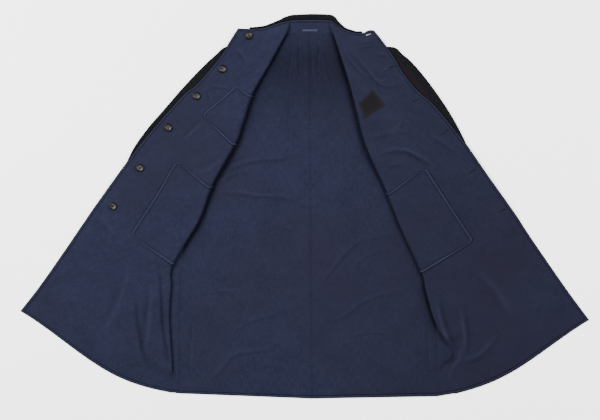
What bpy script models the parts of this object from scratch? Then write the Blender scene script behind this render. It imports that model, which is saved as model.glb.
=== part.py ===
"""A balmacaan coat laid open on the floor, inside up, its fronts turned back over the sleeves.

Frame: the floor is z = 0, +X runs to the right and +Y to the collar, seen from above. The origin
is under the middle of the coat. Sizes and places are in millimetres and become metres in the
mesh. Left and right are as seen from above: the left front carries the buttons.

The cloth of each side is one folded sheet. From its front edge it runs inwards on top, rolls
under at the fold, runs back outwards as a hidden middle layer, turns again and joins the back,
which lies on the floor. The sleeve is a flattened tube beside the back, under the front. Rows
run down the coat from 0 at the neck, 4 at the underarm, to 11 at the hem.
"""

import math

import bmesh
import bpy
import numpy as np
from mathutils import Matrix, Vector

CLOTH = 1.8  # thickness of the double cloth
GAP = 0.3  # between pieces at their seams
SEAM = 0.2  # each edge of a seam is pulled back by this
NECK_SEAM = 0.5  # and at the neck, where the pieces meet at an angle
LEAF = 1.8  # thickness of the collar leaf, which lies under the neck

LOW = CLOTH / 2  # height of the middle of the layer on the floor
TURN = 2.2  # radius of the hidden turn and of the sleeve's edges
MID = LOW + 2 * TURN  # height of the hidden middle layer

UNDERARM = 4.0  # row of the underarm
NOTCH = UNDERARM + 0.12  # row below it where the side of the body and the sleeve close
HEM = 11.0  # row of the hem

NECK_LIFT = LEAF + GAP  # the neck lies on the collar leaf
LIFT_FROM = 368.0  # y where that lift begins
LIFT_FULL = 418.0  # y where it is whole

CENTRE_TOP = (11.5, 468.0)  # centre back seam at the collar
CENTRE_HEM = (19.5, -519.0)  # and at the hem

# A row for each section of a front: its front edge, its fold, the radius of the fold's roll,
# the height of the cloth at 0, 0.2, 0.5 and 0.8 of the way from edge to fold, and how far the
# section bows towards the hem, with the skew of that bow.
BODY_COLUMNS = (
    "row", "edge_x", "edge_y", "fold_x", "fold_y",
    "roll", "z_edge", "z_near", "z_half", "z_far", "bow", "skew",
)
LEFT_BODY = (
    (0, -199, 449, -48, 468, 2.6, 8.4, 8.4, 8.6, 9.6, 19, 1.2),
    (1, -226, 406, -94, 384, 4.0, 8.4, 8.4, 8.8, 11.0, 6, 1.2),
    (2, -261, 363, -142, 298, 5.5, 8.4, 8.4, 9.4, 13.0, 0, 1.2),
    (3, -296, 325, -166, 228, 6.0, 8.4, 8.4, 9.8, 14.0, 0, 1.2),
    (4, -330, 298, -190, 161, 6.0, 8.4, 8.4, 9.8, 14.0, 0, 1.2),
    (5, -429, 186, -250, 52, 5.5, 8.3, 8.4, 9.6, 13.0, 0, 1.2),
    (6, -493, 101, -286, -40, 4.5, 8.0, 8.4, 9.2, 11.5, 0, 1.2),
    (7, -568, -3, -356, -159, 3.0, 4.5, 8.3, 8.8, 10.0, 0, 1.2),
    (8, -599, -48, -360, -215, 2.4, 3.0, 8.0, 8.4, 9.2, 0, 1.2),
    (9, -647, -118, -365, -302, 2.2, 0.9, 1.4, 4.0, 9.0, 0, 1.3),
    (10, -715, -215, -358, -421, 1.8, 0.9, 1.2, 3.0, 6.5, 8, 1.4),
    (11, -768, -283, -358, -503, 1.8, 0.9, 0.9, 0.9, 0.9, 31, 1.5),
)
RIGHT_BODY = (
    (0, 214, 439, 75, 469, 2.6, 8.4, 8.4, 8.6, 9.6, 21, 1.2),
    (1, 238, 407, 97, 403, 4.0, 8.4, 8.4, 8.8, 11.0, 6, 1.2),
    (2, 268, 357, 121, 327, 5.0, 8.4, 8.4, 9.2, 12.0, 0, 1.2),
    (3, 303, 314, 141, 249, 5.5, 8.4, 8.4, 9.4, 13.0, 0, 1.2),
    (4, 352, 270, 165, 160, 6.0, 8.4, 8.4, 9.4, 13.0, 0, 1.2),
    (5, 429, 176, 221, 36, 5.5, 8.3, 8.4, 9.4, 12.5, 0, 1.2),
    (6, 492, 86, 260, -59, 4.5, 7.9, 8.4, 9.2, 11.5, 0, 1.2),
    (7, 568, -21, 315, -180, 4.0, 6.4, 8.3, 8.8, 10.5, 0, 1.2),
    (8, 597, -65, 326, -229, 3.5, 2.4, 6.2, 7.2, 9.6, 0, 1.2),
    (9, 649, -141, 352, -315, 3.0, 0.9, 1.3, 3.5, 8.8, 0, 1.3),
    (10, 711, -230, 397, -402, 2.2, 0.9, 1.1, 2.4, 5.5, 4, 1.4),
    (11, 768, -307, 406, -506, 1.8, 0.9, 0.9, 0.9, 0.9, 22, 1.5),
)

# Where the side of the body turns under the front, and the side seam, below the underarm.
SIDE_COLUMNS = ("row", "turn_x", "turn_y", "seam_x", "seam_y")
LEFT_SIDE = (
    (4, -283, 163, -272, 157),
    (5, -323, 44, -302, 44),
    (6, -358, -51, -317, -51),
    (7, -395, -161, -334, -161),
    (8, -404, -221, -340, -221),
    (9, -402, -302, -342, -302),
    (10, -373, -421, -342, -421),
    (11, -373, -503, -342, -505),
)
RIGHT_SIDE = (
    (4, 284, 155, 273, 149),
    (5, 310, 47, 290, 45),
    (6, 338, -53, 316, -53),
    (7, 365, -172, 341, -172),
    (8, 374, -232, 346, -232),
    (9, 388, -315, 354, -315),
    (10, 412, -404, 357, -408),
    (11, 421, -506, 357, -513),
)

# A raglan sleeve laid flat: the seams that join it to the front and to the back, which become
# its inner edge below the underarm, and its outer edge.
SLEEVE_COLUMNS = ("row", "front_x", "front_y", "back_x", "back_y", "outer_x", "outer_y")
LEFT_SLEEVE = (
    (0, -64, 466, -59, 467, -72, 466),
    (0.3, -79, 445, -75, 446, -106, 433),
    (0.65, -97, 420, -94, 421, -165, 435),
    (1, -115, 395, -113, 396, -215, 430),
    (2, -180, 308, -178, 308, -275, 375),
    (3, -232, 236, -230, 236, -330, 315),
    (4, -283, 163, -283, 163, -381, 256),
    (5, -325, 91, -325, 91, -422, 206),
    (6, -364, 22, -364, 22, -464, 142),
    (7, -403, -52, -403, -52, -510, 44),
    (8, -442, -126, -442, -126, -560, -59),
)
RIGHT_SLEEVE = (
    (0, 90, 466, 84, 467, 98, 466),
    (0.3, 103, 446, 98, 446, 132, 427),
    (0.65, 118, 423, 114, 423, 190, 428),
    (1, 133, 400, 130, 400, 242, 425),
    (2, 179, 325, 176, 325, 288, 386),
    (3, 229, 244, 227, 244, 338, 326),
    (4, 284, 155, 284, 155, 390, 250),
    (5, 318, 91, 318, 91, 427, 183),
    (6, 352, 28, 352, 28, 460, 114),
    (7, 385, -36, 385, -36, 498, 43),
    (8, 419, -99, 419, -99, 530, -27),
)
CENTRE_Y = (468, 379, 287, 211, 138, 38, -51, -167, -226, -307, -426, -519)

# Rows over which the hidden pleat flattens out above the hem, and the width that its steps
# take up where it is flat.
FLAT_SPREAD = 8.0
LEFT_FLATTENS = (10.0, 10.7)
RIGHT_FLATTENS = (9.3, 10.1)

# The top edge of the collar stand, from its left front corner to its right one, and how far
# the rolled leaf stands out beyond it.
STAND_COLUMNS = ("x", "y")
STAND_TOP = (
    (-180, 480), (-149, 479), (-113, 482), (-86, 490), (-65, 497), (-51, 500), (-31, 503.5),
    (-5, 504), (22, 504.5), (47, 504), (68, 503), (87, 487), (109, 474.5), (122, 471.5),
    (142, 468), (158, 468), (168, 473), (177, 475.5), (187, 474.5),
)
ROLL_COLUMNS = ("x", "out")
LEAF_ROLL = (
    (-149, 4.7), (-113, 4.7), (-86, 5.6), (-65, 7.5), (-51, 11.5), (-31, 13.5), (-5, 14.4),
    (22, 14.8), (47, 14.8), (68, 14.5), (87, 13.0), (109, 8.0), (122, 6.0), (142, 4.7), (158, 4.7),
)
STAND_FOLD_LEFT = (-42.5, -36.5)  # x at the top edge where the stand's pleat runs out
STAND_FOLD_RIGHT = (62.0, 67.0)
LEAF_ENDS = (-149.0, 155.0)
LEAF_FREE_EDGE = ((-152, 432), (-60, 450), (14, 460), (90, 447), (162, 423))  # under the neck
LEAF_RADIUS = 1.5  # of the rolled edge
LEAF_START = 1.5  # from the stand's top edge to the leaf
LEAF_STEP = 2.5  # least distance between the leaf's columns

BUTTON_RADIUS = 11.0
BUTTON_PROFILE = (  # radius and height
    (0, 0), (8.5, 0), (11, 1.2), (11, 2.6), (9.8, 3.4), (8.2, 3.3), (7.2, 2.4), (0, 2.2),
)
THREAD_HOLE = 0.95  # radius of each of the four holes
THREAD_HOLE_PLACE = 2.3  # from the middle of the button
BUTTON_PLACES = ((-222, 370), (-292, 297), (-368, 212), (-444, 103.5), (-517, 0.5))
COLLAR_BUTTON_PLACE = (-151, 459)
BUTTONHOLE_LENGTH = 23.0
BUTTONHOLE_WIDTH = 1.2
BUTTONHOLES = ((237.5, 376), (300.5, 285.5), (376, 199), (451.5, 95), (530, -13))
COLLAR_HOLE = (171.5, 463.0)
COLLAR_HOLE_SIZE = (15.0, 3.4)
COLLAR_HOLE_TURN = math.radians(18)

# Patch pockets: their first and last row, and the share of the way from the front edge to the
# fold where they start, at their top, middle and bottom.
PATCH = 1.4
PATCH_GAP = 0.5
POCKET_CORNER = 14.0
POCKETS = {
    "pocket_chest_left": ("left", (2.0, 4.0), (0.636, 0.473, 0.39)),
    "pocket_hip_left": ("left", (5.0, 7.0), (0.474, 0.47, 0.471)),
    "pocket_hip_right": ("right", (5.0, 7.0), (0.51, 0.48, 0.452)),
}
POCKET_WRAP = 4  # steps of the roll that a pocket follows round the fold

LABEL_CORNERS = ((145, 276), (183, 313), (216, 272), (163, 238))
LABEL_THICKNESS = 0.9
LOOP_LENGTH = 40.0
LOOP_WIDTH = 5.0
LOOP_THICKNESS = 1.2
LOOP_RISE = 1.5
LOOP_PLACE = (14.0, 474.0)

FINISHES = {  # colour and roughness
    "navy_cotton": ((0.030, 0.037, 0.065), 0.9),
    "black_wool": ((0.012, 0.012, 0.014), 0.95),
    "label_cloth": ((0.018, 0.016, 0.019), 0.7),
    "loop_tape": ((0.06, 0.075, 0.13), 0.7),
    "horn": ((0.16, 0.13, 0.11), 0.35),
}

# Where the grids are sampled
ROWS_YOKE = (0.0, 0.3, 0.65, 1.0, 1.5, 2.0, 2.5, 3.0, 3.5, 4.0)
ROWS_SKIRT = (
    NOTCH, 4.5, 5.0, 5.5, 6.0, 6.5, 7.0, 7.5, 8.0, 8.5, 9.0, 9.4, 9.7, 10.0, 10.2, 10.4, 10.7, HEM,
)
ROWS_SLEEVE = (NOTCH, 4.5, 5.0, 5.5, 6.0, 6.5, 7.0, 7.5, 8.0)
TOP_STEPS = 10
ROLL_STEPS = 6
MIDDLE_STEPS = 3
TURN_STEPS = 5
LOWER_STEPS = 2
BACK_STEPS = 3
SLEEVE_STEPS = 3
# How much sooner the points of the stand's pleat turn aside than those beside it
PLEAT_STRETCH = (1.0, 1.17, 2.0, 2.34)
PLEAT_HASTE = (1.0, 2.0, 2.0, 1.0)
STAND_FALLS = 0.25  # share of its height at which the stand starts down to its top edge
STAND_HEIGHTS = (0.0, 0.22, 0.42, 0.6, 0.8, 1.0)


def curve(knots, values, at, monotone=False):
    """Cubic through values at the knots. Its slope at a knot is the mean of the slopes of the
    chords beside it, or their harmonic mean where it may not overshoot."""
    at = np.asarray(at, float)
    knots = np.asarray(knots, float)
    values = np.asarray(values, float)
    if values.ndim == 1:
        values = np.broadcast_to(values, at.shape + values.shape)
    step = np.diff(knots)
    chord = np.diff(values, axis=-1) / step
    before, after = chord[..., :-1], chord[..., 1:]
    slope = np.empty(values.shape)
    slope[..., 0] = chord[..., 0]
    slope[..., -1] = chord[..., -1]
    if monotone:
        same_way = before * after > 0
        total = np.where(same_way, before + after, 1.0)
        slope[..., 1:-1] = np.where(same_way, 2 * before * after / total, 0.0)
    else:
        slope[..., 1:-1] = (before + after) / 2
    i = np.clip(np.searchsorted(knots, at, side="right") - 1, 0, len(knots) - 2)
    t = (at - knots[i]) / step[i]

    def pick(numbers, offset):
        return np.take_along_axis(numbers, (i + offset)[..., None], axis=-1)[..., 0]

    return (
        pick(values, 0) * (1 + 2 * t) * (1 - t) ** 2
        + pick(slope, 0) * step[i] * t * (1 - t) ** 2
        + pick(values, 1) * t**2 * (3 - 2 * t)
        + pick(slope, 1) * step[i] * t**2 * (t - 1)
    )


def column(table, names, name):
    return np.array([row[names.index(name)] for row in table], float)


def place(table, names, name, v):
    """Point in plan of a pair of columns, name_x and name_y, at row v."""
    rows = column(table, names, "row")
    return np.stack(
        [curve(rows, column(table, names, f"{name}_{axis}"), v) for axis in "xy"], axis=-1
    )


def unit(vectors):
    return vectors / np.maximum(np.linalg.norm(vectors, axis=-1, keepdims=True), 1e-9)


def ease(t):
    t = np.clip(t, 0.0, 1.0)
    return t * t * (3 - 2 * t)


def lift(y):
    """Height by which the neck is raised where it lies on the collar leaf."""
    return NECK_LIFT * ease((y - LIFT_FROM) / (LIFT_FULL - LIFT_FROM))


def solid_point(plan, z):
    return np.concatenate([plan, (z + lift(plan[..., 1]))[..., None]], axis=-1)


class Side:
    """One half of the coat, folded, as functions of a place across it and a row v down it."""

    def __init__(self, name, out, body, side, sleeve, flattens):
        self.name = name
        self.out = out
        self.body = body
        self.side = side
        self.sleeve_table = sleeve
        self.flattens = flattens

    def amount(self, name, v):
        rows = column(self.body, BODY_COLUMNS, "row")
        return curve(rows, column(self.body, BODY_COLUMNS, name), v, monotone=True)

    def outward(self, table, names, name, v):
        """Level direction square to a line of the coat, away from the centre back."""
        step = 0.02
        along = place(table, names, name, v + step) - place(table, names, name, v - step)
        across = np.stack([along[..., 1], -along[..., 0]], axis=-1)
        return unit(across) * np.sign(across[..., :1]) * self.out

    def front(self, a, v):
        """Middle of the front's cloth. a is 0 at the front edge, 1 to 2 round the fold's roll,
        2 to 3 along the hidden layer, 3 to 4 round the hidden turn and 5 at the side seam;
        above the underarm it ends at 3, on the raglan seam."""
        a, v = np.broadcast_arrays(np.asarray(a, float), np.asarray(v, float))
        edge = place(self.body, BODY_COLUMNS, "edge", v)
        fold = place(self.body, BODY_COLUMNS, "fold", v)
        roll = self.amount("roll", v)
        fold_centre = fold + self.outward(self.body, BODY_COLUMNS, "fold", v) * (
            roll + CLOTH / 2
        )[..., None]
        raglan = place(self.sleeve_table, SLEEVE_COLUMNS, "front", np.minimum(v, UNDERARM))
        below = np.maximum(v, UNDERARM)
        turn = place(self.side, SIDE_COLUMNS, "turn", below)
        seam = place(self.side, SIDE_COLUMNS, "seam", below)
        skirt = (v > UNDERARM)[..., None]
        hidden = np.where(skirt, turn - fold_centre, raglan - fold_centre)
        width = np.linalg.norm(hidden, axis=-1) - np.where(
            skirt[..., 0], TURN + CLOTH / 2 + GAP, 0.0
        )
        out = unit(hidden)
        flat = ease((v - self.flattens[0]) / (self.flattens[1] - self.flattens[0]))
        bend = math.pi * (1 - flat)
        width = width * (1 - flat) ** 4
        fall = (roll + TURN) * (1 - np.cos(bend)) + width * np.sin(bend)
        top_z = LOW + fall

        share = np.clip(a, 0, 1)
        heights = np.stack(
            [self.amount(name, v) for name in ("z_edge", "z_near", "z_half", "z_far")] + [top_z],
            axis=-1,
        )
        bow = self.amount("bow", v) * np.sin(math.pi * share ** self.amount("skew", v))
        chord = unit(fold_centre - edge)
        square = np.stack([chord[..., 1], -chord[..., 0]], axis=-1)
        square = square * -np.sign(square[..., 1:2])
        plan = edge + (fold_centre - edge) * share[..., None] + square * bow[..., None]
        z = curve((0, 0.2, 0.5, 0.8, 1), heights, share, monotone=True)

        round_roll = np.clip(a - 1, 0, 1) * bend
        reach = -roll * np.sin(round_roll)
        drop = roll * (1 - np.cos(round_roll))
        along = np.clip(a - 2, 0, 1) * width
        reach = reach - along * np.cos(bend)
        drop = drop + along * np.sin(bend)
        round_turn = bend * (1 - np.clip(a - 3, 0, 1))
        reach = reach - FLAT_SPREAD * flat * np.clip((a - 1) / 3, 0, 1)
        turning = (a > 3) & skirt[..., 0]
        reach = reach - np.where(turning, TURN * (np.sin(bend) - np.sin(round_turn)), 0.0)
        drop = drop - np.where(turning, TURN * (np.cos(bend) - np.cos(round_turn)), 0.0)
        plan = plan + out * reach[..., None]
        z = z - drop
        last = np.clip(a - 4, 0, 1)[..., None] * skirt
        plan = plan + (seam - plan) * last
        return solid_point(plan, z)

    def back(self, b, v):
        """Middle of the back's cloth, flat on the floor: b is 0 at the centre seam and 1 at the
        raglan seam or, below the underarm, at the side seam."""
        b, v = np.broadcast_arrays(np.asarray(b, float), np.asarray(v, float))
        y = curve(np.arange(len(CENTRE_Y)), CENTRE_Y, v)
        down = (CENTRE_TOP[1] - y) / (CENTRE_TOP[1] - CENTRE_HEM[1])
        centre = np.stack([CENTRE_TOP[0] + (CENTRE_HEM[0] - CENTRE_TOP[0]) * down, y], axis=-1)
        raglan = place(self.sleeve_table, SLEEVE_COLUMNS, "back", np.minimum(v, UNDERARM))
        seam = place(self.side, SIDE_COLUMNS, "seam", np.maximum(v, UNDERARM))
        edge = np.where((v > UNDERARM)[..., None], seam, raglan)
        plan = centre + (edge - centre) * b[..., None]
        return solid_point(plan, np.full(b.shape, LOW))

    def sleeve(self, s, v):
        """Middle of the sleeve's cloth. s is 0 to 1 round the inner edge from the underarm seam,
        1 to 2 along the upper wall, 2 to 3 round the outer edge, 3 to 4 along the lower wall and
        4 to 5 back to the underarm seam. Above the underarm it runs only from 1 to 4."""
        s, v = np.broadcast_arrays(np.asarray(s, float), np.asarray(v, float))
        front = place(self.sleeve_table, SLEEVE_COLUMNS, "front", v)
        back = place(self.sleeve_table, SLEEVE_COLUMNS, "back", v)
        outer = place(self.sleeve_table, SLEEVE_COLUMNS, "outer", v)
        side_reach = TURN + CLOTH / 2 + GAP
        below = (v > UNDERARM)[..., None]
        out = unit(outer - front)
        outer_centre = outer - out * side_reach
        front = np.where(below, front + out * side_reach, front)
        back = np.where(below, back + out * side_reach, back)
        upper = np.clip(s - 1, 0, 1)[..., None]
        lower = np.clip(s - 3, 0, 1)[..., None]
        plan = front + (outer_centre - front) * upper + (back - outer_centre) * lower
        angle = math.pi * np.clip(s - 2, 0, 1)
        plan = plan + out * (TURN * np.sin(angle))[..., None]
        z = MID - TURN * (1 - np.cos(angle))
        start = math.pi / 2 * (1 - np.clip(s, 0, 1))
        end = math.pi / 2 * np.clip(s - 4, 0, 1)
        plan = plan - out * (TURN * (np.sin(start) + np.sin(end)))[..., None]
        z = z - TURN * (1 - np.cos(start)) + TURN * (1 - np.cos(end))
        return solid_point(plan, z)

    def front_columns(self):
        return np.concatenate([
            np.linspace(0, 1, TOP_STEPS + 1),
            1 + np.arange(1, ROLL_STEPS + 1) / ROLL_STEPS,
            2 + np.arange(1, MIDDLE_STEPS + 1) / MIDDLE_STEPS,
            3 + np.arange(1, TURN_STEPS + 1) / TURN_STEPS,
            4 + np.arange(1, LOWER_STEPS + 1) / LOWER_STEPS,
        ])

    def sleeve_columns(self):
        return np.concatenate([
            np.linspace(0.08, 1, 4),
            1 + np.arange(1, SLEEVE_STEPS + 1) / SLEEVE_STEPS,
            2 + np.arange(1, TURN_STEPS + 1) / TURN_STEPS,
            3 + np.arange(1, SLEEVE_STEPS + 1) / SLEEVE_STEPS,
            np.linspace(4, 4.92, 4)[1:],
        ])


LEFT = Side("left", -1, LEFT_BODY, LEFT_SIDE, LEFT_SLEEVE, LEFT_FLATTENS)
RIGHT = Side("right", 1, RIGHT_BODY, RIGHT_SIDE, RIGHT_SLEEVE, RIGHT_FLATTENS)
SIDES = {"left": LEFT, "right": RIGHT}


def finish(name):
    colour, roughness = FINISHES[name]
    material = bpy.data.materials.get(name)
    if material is None:
        material = bpy.data.materials.new(name)
        material.use_nodes = True
        shader = material.node_tree.nodes["Principled BSDF"]
        shader.inputs["Base Color"].default_value = (*colour, 1)
        shader.inputs["Roughness"].default_value = roughness
        shader.inputs["Metallic"].default_value = 0.0
    return material


def add_object(name, vertices, faces, finish_name):
    mesh = bpy.data.meshes.new(name)
    mesh.from_pydata([tuple(point) for point in vertices], [], faces)
    mesh.materials.append(finish(finish_name))
    mesh.validate()
    thing = bpy.data.objects.new(name, mesh)
    bpy.context.collection.objects.link(thing)
    return thing


def grid_normals(points, present):
    """Direction square to the cloth at each point, the mean over the cells that are there."""
    across = unit(np.cross(points[1:, 1:] - points[:-1, :-1], points[:-1, 1:] - points[1:, :-1]))
    across = np.where(present[..., None], across, 0.0)
    normals = np.zeros(points.shape)
    normals[:-1, :-1] += across
    normals[1:, :-1] += across
    normals[:-1, 1:] += across
    normals[1:, 1:] += across
    return unit(normals)


def wall(name, points, present, finish_name, thickness=CLOTH, upside=1.0, off=0.0):
    """Closed wall of cloth about a grid of points, where present says which cells are cloth.
    off moves it away from the grid, square to it, towards upside."""
    normals = grid_normals(points, present)
    middle = points + normals * off * upside
    top = (middle + normals * thickness / 2) / 1000
    bottom = (middle - normals * thickness / 2) / 1000
    rows, columns = points.shape[:2]
    number = np.arange(rows * columns).reshape(rows, columns)
    cells = np.stack(
        [number[:-1, :-1], number[:-1, 1:], number[1:, 1:], number[1:, :-1]], axis=-1
    )[present]
    cells = cells[:, ::-1]
    edges = np.concatenate([np.stack([cells[:, k], cells[:, (k + 1) % 4]], -1) for k in range(4)])
    known = {tuple(edge) for edge in edges.tolist()}
    rim = [edge for edge in edges.tolist() if (edge[1], edge[0]) not in known]
    shift = rows * columns
    faces = cells.tolist() + (cells[:, ::-1] + shift).tolist()
    faces += [[b, a, a + shift, b + shift] for a, b in rim]
    used = sorted({corner for face in faces for corner in face})
    renumber = {old: new for new, old in enumerate(used)}
    vertices = np.concatenate([top.reshape(-1, 3), bottom.reshape(-1, 3)])[used]
    faces = [[renumber[corner] for corner in face] for face in faces]
    thing = add_object(name, vertices, faces, finish_name)
    shell = bmesh.new()
    shell.from_mesh(thing.data)
    bmesh.ops.recalc_face_normals(shell, faces=shell.faces)
    shell.to_mesh(thing.data)
    shell.free()
    thing.data.shade_smooth()
    return thing


def pulled_back(points, rows, at, inside):
    """Points of column at, moved towards column inside by the width of a seam."""
    away = unit(points[rows, inside] - points[rows, at])
    points[rows, at] = points[rows, at] + away * SEAM


def pulled_down(points):
    """First row moved down the coat by the width of the neck seam."""
    points[0] = points[0] + unit(points[1] - points[0]) * NECK_SEAM


def make_front(side):
    rows = np.array(ROWS_YOKE + ROWS_SKIRT)
    columns = side.front_columns()
    points = side.front(columns[None, :], rows[:, None])
    raglan = TOP_STEPS + ROLL_STEPS + MIDDLE_STEPS
    yoke = len(ROWS_YOKE)
    present = np.ones((len(rows) - 1, len(columns) - 1), bool)
    present[:yoke, raglan:] = False
    pulled_back(points, slice(0, yoke), raglan, raglan - 1)
    pulled_back(points, slice(yoke, None), -1, -2)
    pulled_down(points)
    return wall(f"front_{side.name}", points, present, "navy_cotton"), points


def make_back(side):
    rows = np.array(ROWS_YOKE + ROWS_SKIRT)
    columns = np.linspace(0, 1, BACK_STEPS + 1)
    points = side.back(columns[None, :], rows[:, None])
    present = np.ones((len(rows) - 1, BACK_STEPS), bool)
    pulled_back(points, slice(None), 0, 1)
    pulled_back(points, slice(None), -1, -2)
    pulled_down(points)
    return wall(f"back_{side.name}", points, present, "navy_cotton")


def make_sleeve(side):
    rows = np.array(ROWS_YOKE + ROWS_SLEEVE)
    columns = side.sleeve_columns()
    points = side.sleeve(columns[None, :], rows[:, None])
    yoke = len(ROWS_YOKE)
    first, last = 3, len(columns) - 4
    present = np.ones((len(rows) - 1, len(columns) - 1), bool)
    present[:yoke, :first] = False
    present[:yoke, last:] = False
    pulled_back(points, slice(0, yoke), first, first + 1)
    pulled_back(points, slice(0, yoke), last, last - 1)
    pulled_down(points)
    return wall(f"sleeve_{side.name}", points, present, "black_wool")


def neck_line(side):
    """Points of the neck seam from the front edge to the centre back, with the share of the way
    along the front, along the hidden pleat and along the back that each one has reached."""
    columns = side.front_columns()[: TOP_STEPS + ROLL_STEPS + MIDDLE_STEPS + 1]
    front = side.front(columns, np.zeros(len(columns)))
    sleeve_columns = side.sleeve_columns()[4:-3]
    sleeve = side.sleeve(sleeve_columns, np.zeros(len(sleeve_columns)))
    back_columns = np.linspace(1, 0, BACK_STEPS + 1)[1:]
    back = side.back(back_columns, np.zeros(len(back_columns)))
    hidden = len(columns) - TOP_STEPS - 1 + len(sleeve_columns)
    stretch = np.concatenate([
        columns[: TOP_STEPS + 1],
        1 + np.arange(1, hidden + 1) / hidden,
        2 + (1 - back_columns),
    ])
    return np.concatenate([front, sleeve, back]), stretch


def stand_top(x):
    y = curve(column(STAND_TOP, STAND_COLUMNS, "x"), column(STAND_TOP, STAND_COLUMNS, "y"), x, True)
    return np.stack([x, y], axis=-1)


def stand_top_out(x):
    """Level direction square to the stand's top edge, away from the coat."""
    along = stand_top(x + 0.5) - stand_top(x - 0.5)
    return unit(np.stack([-along[..., 1], along[..., 0]], axis=-1))


def make_stand():
    """The stand rises from the folded neck seam, and its pleat opens out to its top edge."""
    left, left_stretch = neck_line(LEFT)
    right, right_stretch = neck_line(RIGHT)
    first, last = STAND_TOP[0][0], STAND_TOP[-1][0]
    left_x = np.interp(left_stretch, (0, 1, 2, 3), (first, *STAND_FOLD_LEFT, CENTRE_TOP[0]))
    right_x = np.interp(right_stretch, (0, 1, 2, 3), (last, *STAND_FOLD_RIGHT[::-1], CENTRE_TOP[0]))
    foot = np.concatenate([left, right[-2::-1]])
    top_x = np.concatenate([left_x, right_x[-2::-1]])
    top = stand_top(top_x)
    stops = (0, 1, 2, 3)
    levels = [
        np.interp(stretch, stops, np.interp(stops, stretch, line[:, 1]))
        for line, stretch in ((left, left_stretch), (right, right_stretch))
    ]
    level = np.concatenate([levels[0], levels[1][-2::-1]])
    in_pleat = np.concatenate([left_stretch, right_stretch[-2::-1]])
    level = np.where((in_pleat > 1) & (in_pleat < 2), level, foot[:, 1])
    height = np.array(STAND_HEIGHTS)[:, None]
    haste = np.interp(in_pleat, PLEAT_STRETCH, PLEAT_HASTE)
    opened = 1 - (1 - height) ** haste
    lowered = ease((height - STAND_FALLS) / (1 - STAND_FALLS))
    points = np.stack([
        foot[:, 0] + (top[:, 0] - foot[:, 0]) * opened,
        level + (top[:, 1] - level) * height + (foot[:, 1] - level) * (1 - opened),
        foot[:, 2] + (LOW + NECK_LIFT - foot[:, 2]) * lowered,
    ], axis=-1)
    points[0] = points[0] + unit(points[1] - points[0]) * NECK_SEAM
    present = np.ones((points.shape[0] - 1, points.shape[1] - 1), bool)
    return wall("collar_stand", points, present, "navy_cotton"), points


def make_leaf(top_x):
    """The leaf leaves the stand's top edge, rolls under and lies on the floor below the neck.
    Its columns are those of the stand, without the crowded ones in the pleats."""
    x = [LEAF_ENDS[0]]
    for value in top_x:
        if x[-1] + LEAF_STEP < value < LEAF_ENDS[1] - LEAF_STEP:
            x.append(value)
    x = np.array(x + [LEAF_ENDS[1]])
    out = stand_top_out(x)
    reach = curve(
        column(LEAF_ROLL, ROLL_COLUMNS, "x"), column(LEAF_ROLL, ROLL_COLUMNS, "out"), x, True
    )
    free_x = LEAF_FREE_EDGE[0][0] + (LEAF_FREE_EDGE[-1][0] - LEAF_FREE_EDGE[0][0]) * (
        (x - x[0]) / (x[-1] - x[0])
    )
    free_y = curve(
        column(LEAF_FREE_EDGE, STAND_COLUMNS, "x"), column(LEAF_FREE_EDGE, STAND_COLUMNS, "y"), free_x
    )
    low = LEAF / 2
    top = low + 2 * LEAF_RADIUS
    centre = reach - LEAF_RADIUS - LEAF / 2
    angles = np.linspace(0, math.pi, 5)
    seam_z = LOW + NECK_LIFT
    rise = top - seam_z
    rows = [
        (np.full(x.shape, LEAF_START), seam_z),
        (LEAF_START + (centre - LEAF_START) * 0.6, seam_z + rise * 0.25),
    ]
    for angle in angles:
        rows.append((centre + LEAF_RADIUS * math.sin(angle), top - LEAF_RADIUS * (1 - math.cos(angle))))
    plan = stand_top(x)
    points = [
        np.concatenate([plan + out * h[:, None], np.full((len(x), 1), z)], axis=-1) for h, z in rows
    ]
    free = np.stack([free_x, free_y, np.full(x.shape, low)], axis=-1)
    points = np.stack(points + [points[-1] + (free - points[-1]) * share for share in (0.3, 0.65, 1)])
    present = np.ones((len(points) - 1, len(x) - 1), bool)
    return wall("collar_leaf", points, present, "black_wool", thickness=LEAF)


def make_pocket(name, side, grid, rows, starts):
    """Patch on the front, made from the front's own points moved out, with its lower corners
    rounded. It follows the roll part of the way round."""
    all_rows = np.array(ROWS_YOKE + ROWS_SKIRT)
    first, last = rows
    corner_rows = 0.10
    own = [v for v in all_rows if first < v < last]
    stops = np.array([first, first + corner_rows / 3, first + corner_rows]
                     + own + [last - corner_rows, last - corner_rows / 3, last])
    start = np.interp(stops, (first, (first + last) / 2, last), starts)
    near = np.minimum(stops - first, last - stops) / corner_rows
    rounding = 1 - np.sqrt(1 - (1 - np.clip(near, 0, 1)) ** 2)
    lengths = np.linalg.norm(side.front(0.0, stops) - side.front(1.0, stops), axis=-1)
    start = start + rounding * POCKET_CORNER / lengths
    share = np.linspace(0, 1, 6)
    flat = start[:, None] + (1 - start[:, None]) * share
    rolled = np.repeat(1 + np.arange(1, POCKET_WRAP + 1)[None, :] / ROLL_STEPS, len(stops), axis=0)
    a = np.concatenate([flat, rolled], axis=1)
    columns = side.front_columns()
    at = np.interp(a, columns, np.arange(len(columns)))
    row_at = np.interp(stops, all_rows, np.arange(len(all_rows)))[:, None] + 0 * at
    i = np.clip(row_at.astype(int), 0, len(all_rows) - 2)
    j = np.clip(at.astype(int), 0, len(columns) - 2)
    p, q = (row_at - i)[..., None], (at - j)[..., None]
    points = (
        grid[i, j] * (1 - p) * (1 - q) + grid[i + 1, j] * p * (1 - q)
        + grid[i, j + 1] * (1 - p) * q + grid[i + 1, j + 1] * p * q
    )
    present = np.ones((a.shape[0] - 1, a.shape[1] - 1), bool)
    return wall(name, points, present, "navy_cotton", thickness=PATCH, upside=face_up(points),
                off=CLOTH / 2 + PATCH_GAP + PATCH / 2)


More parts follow.
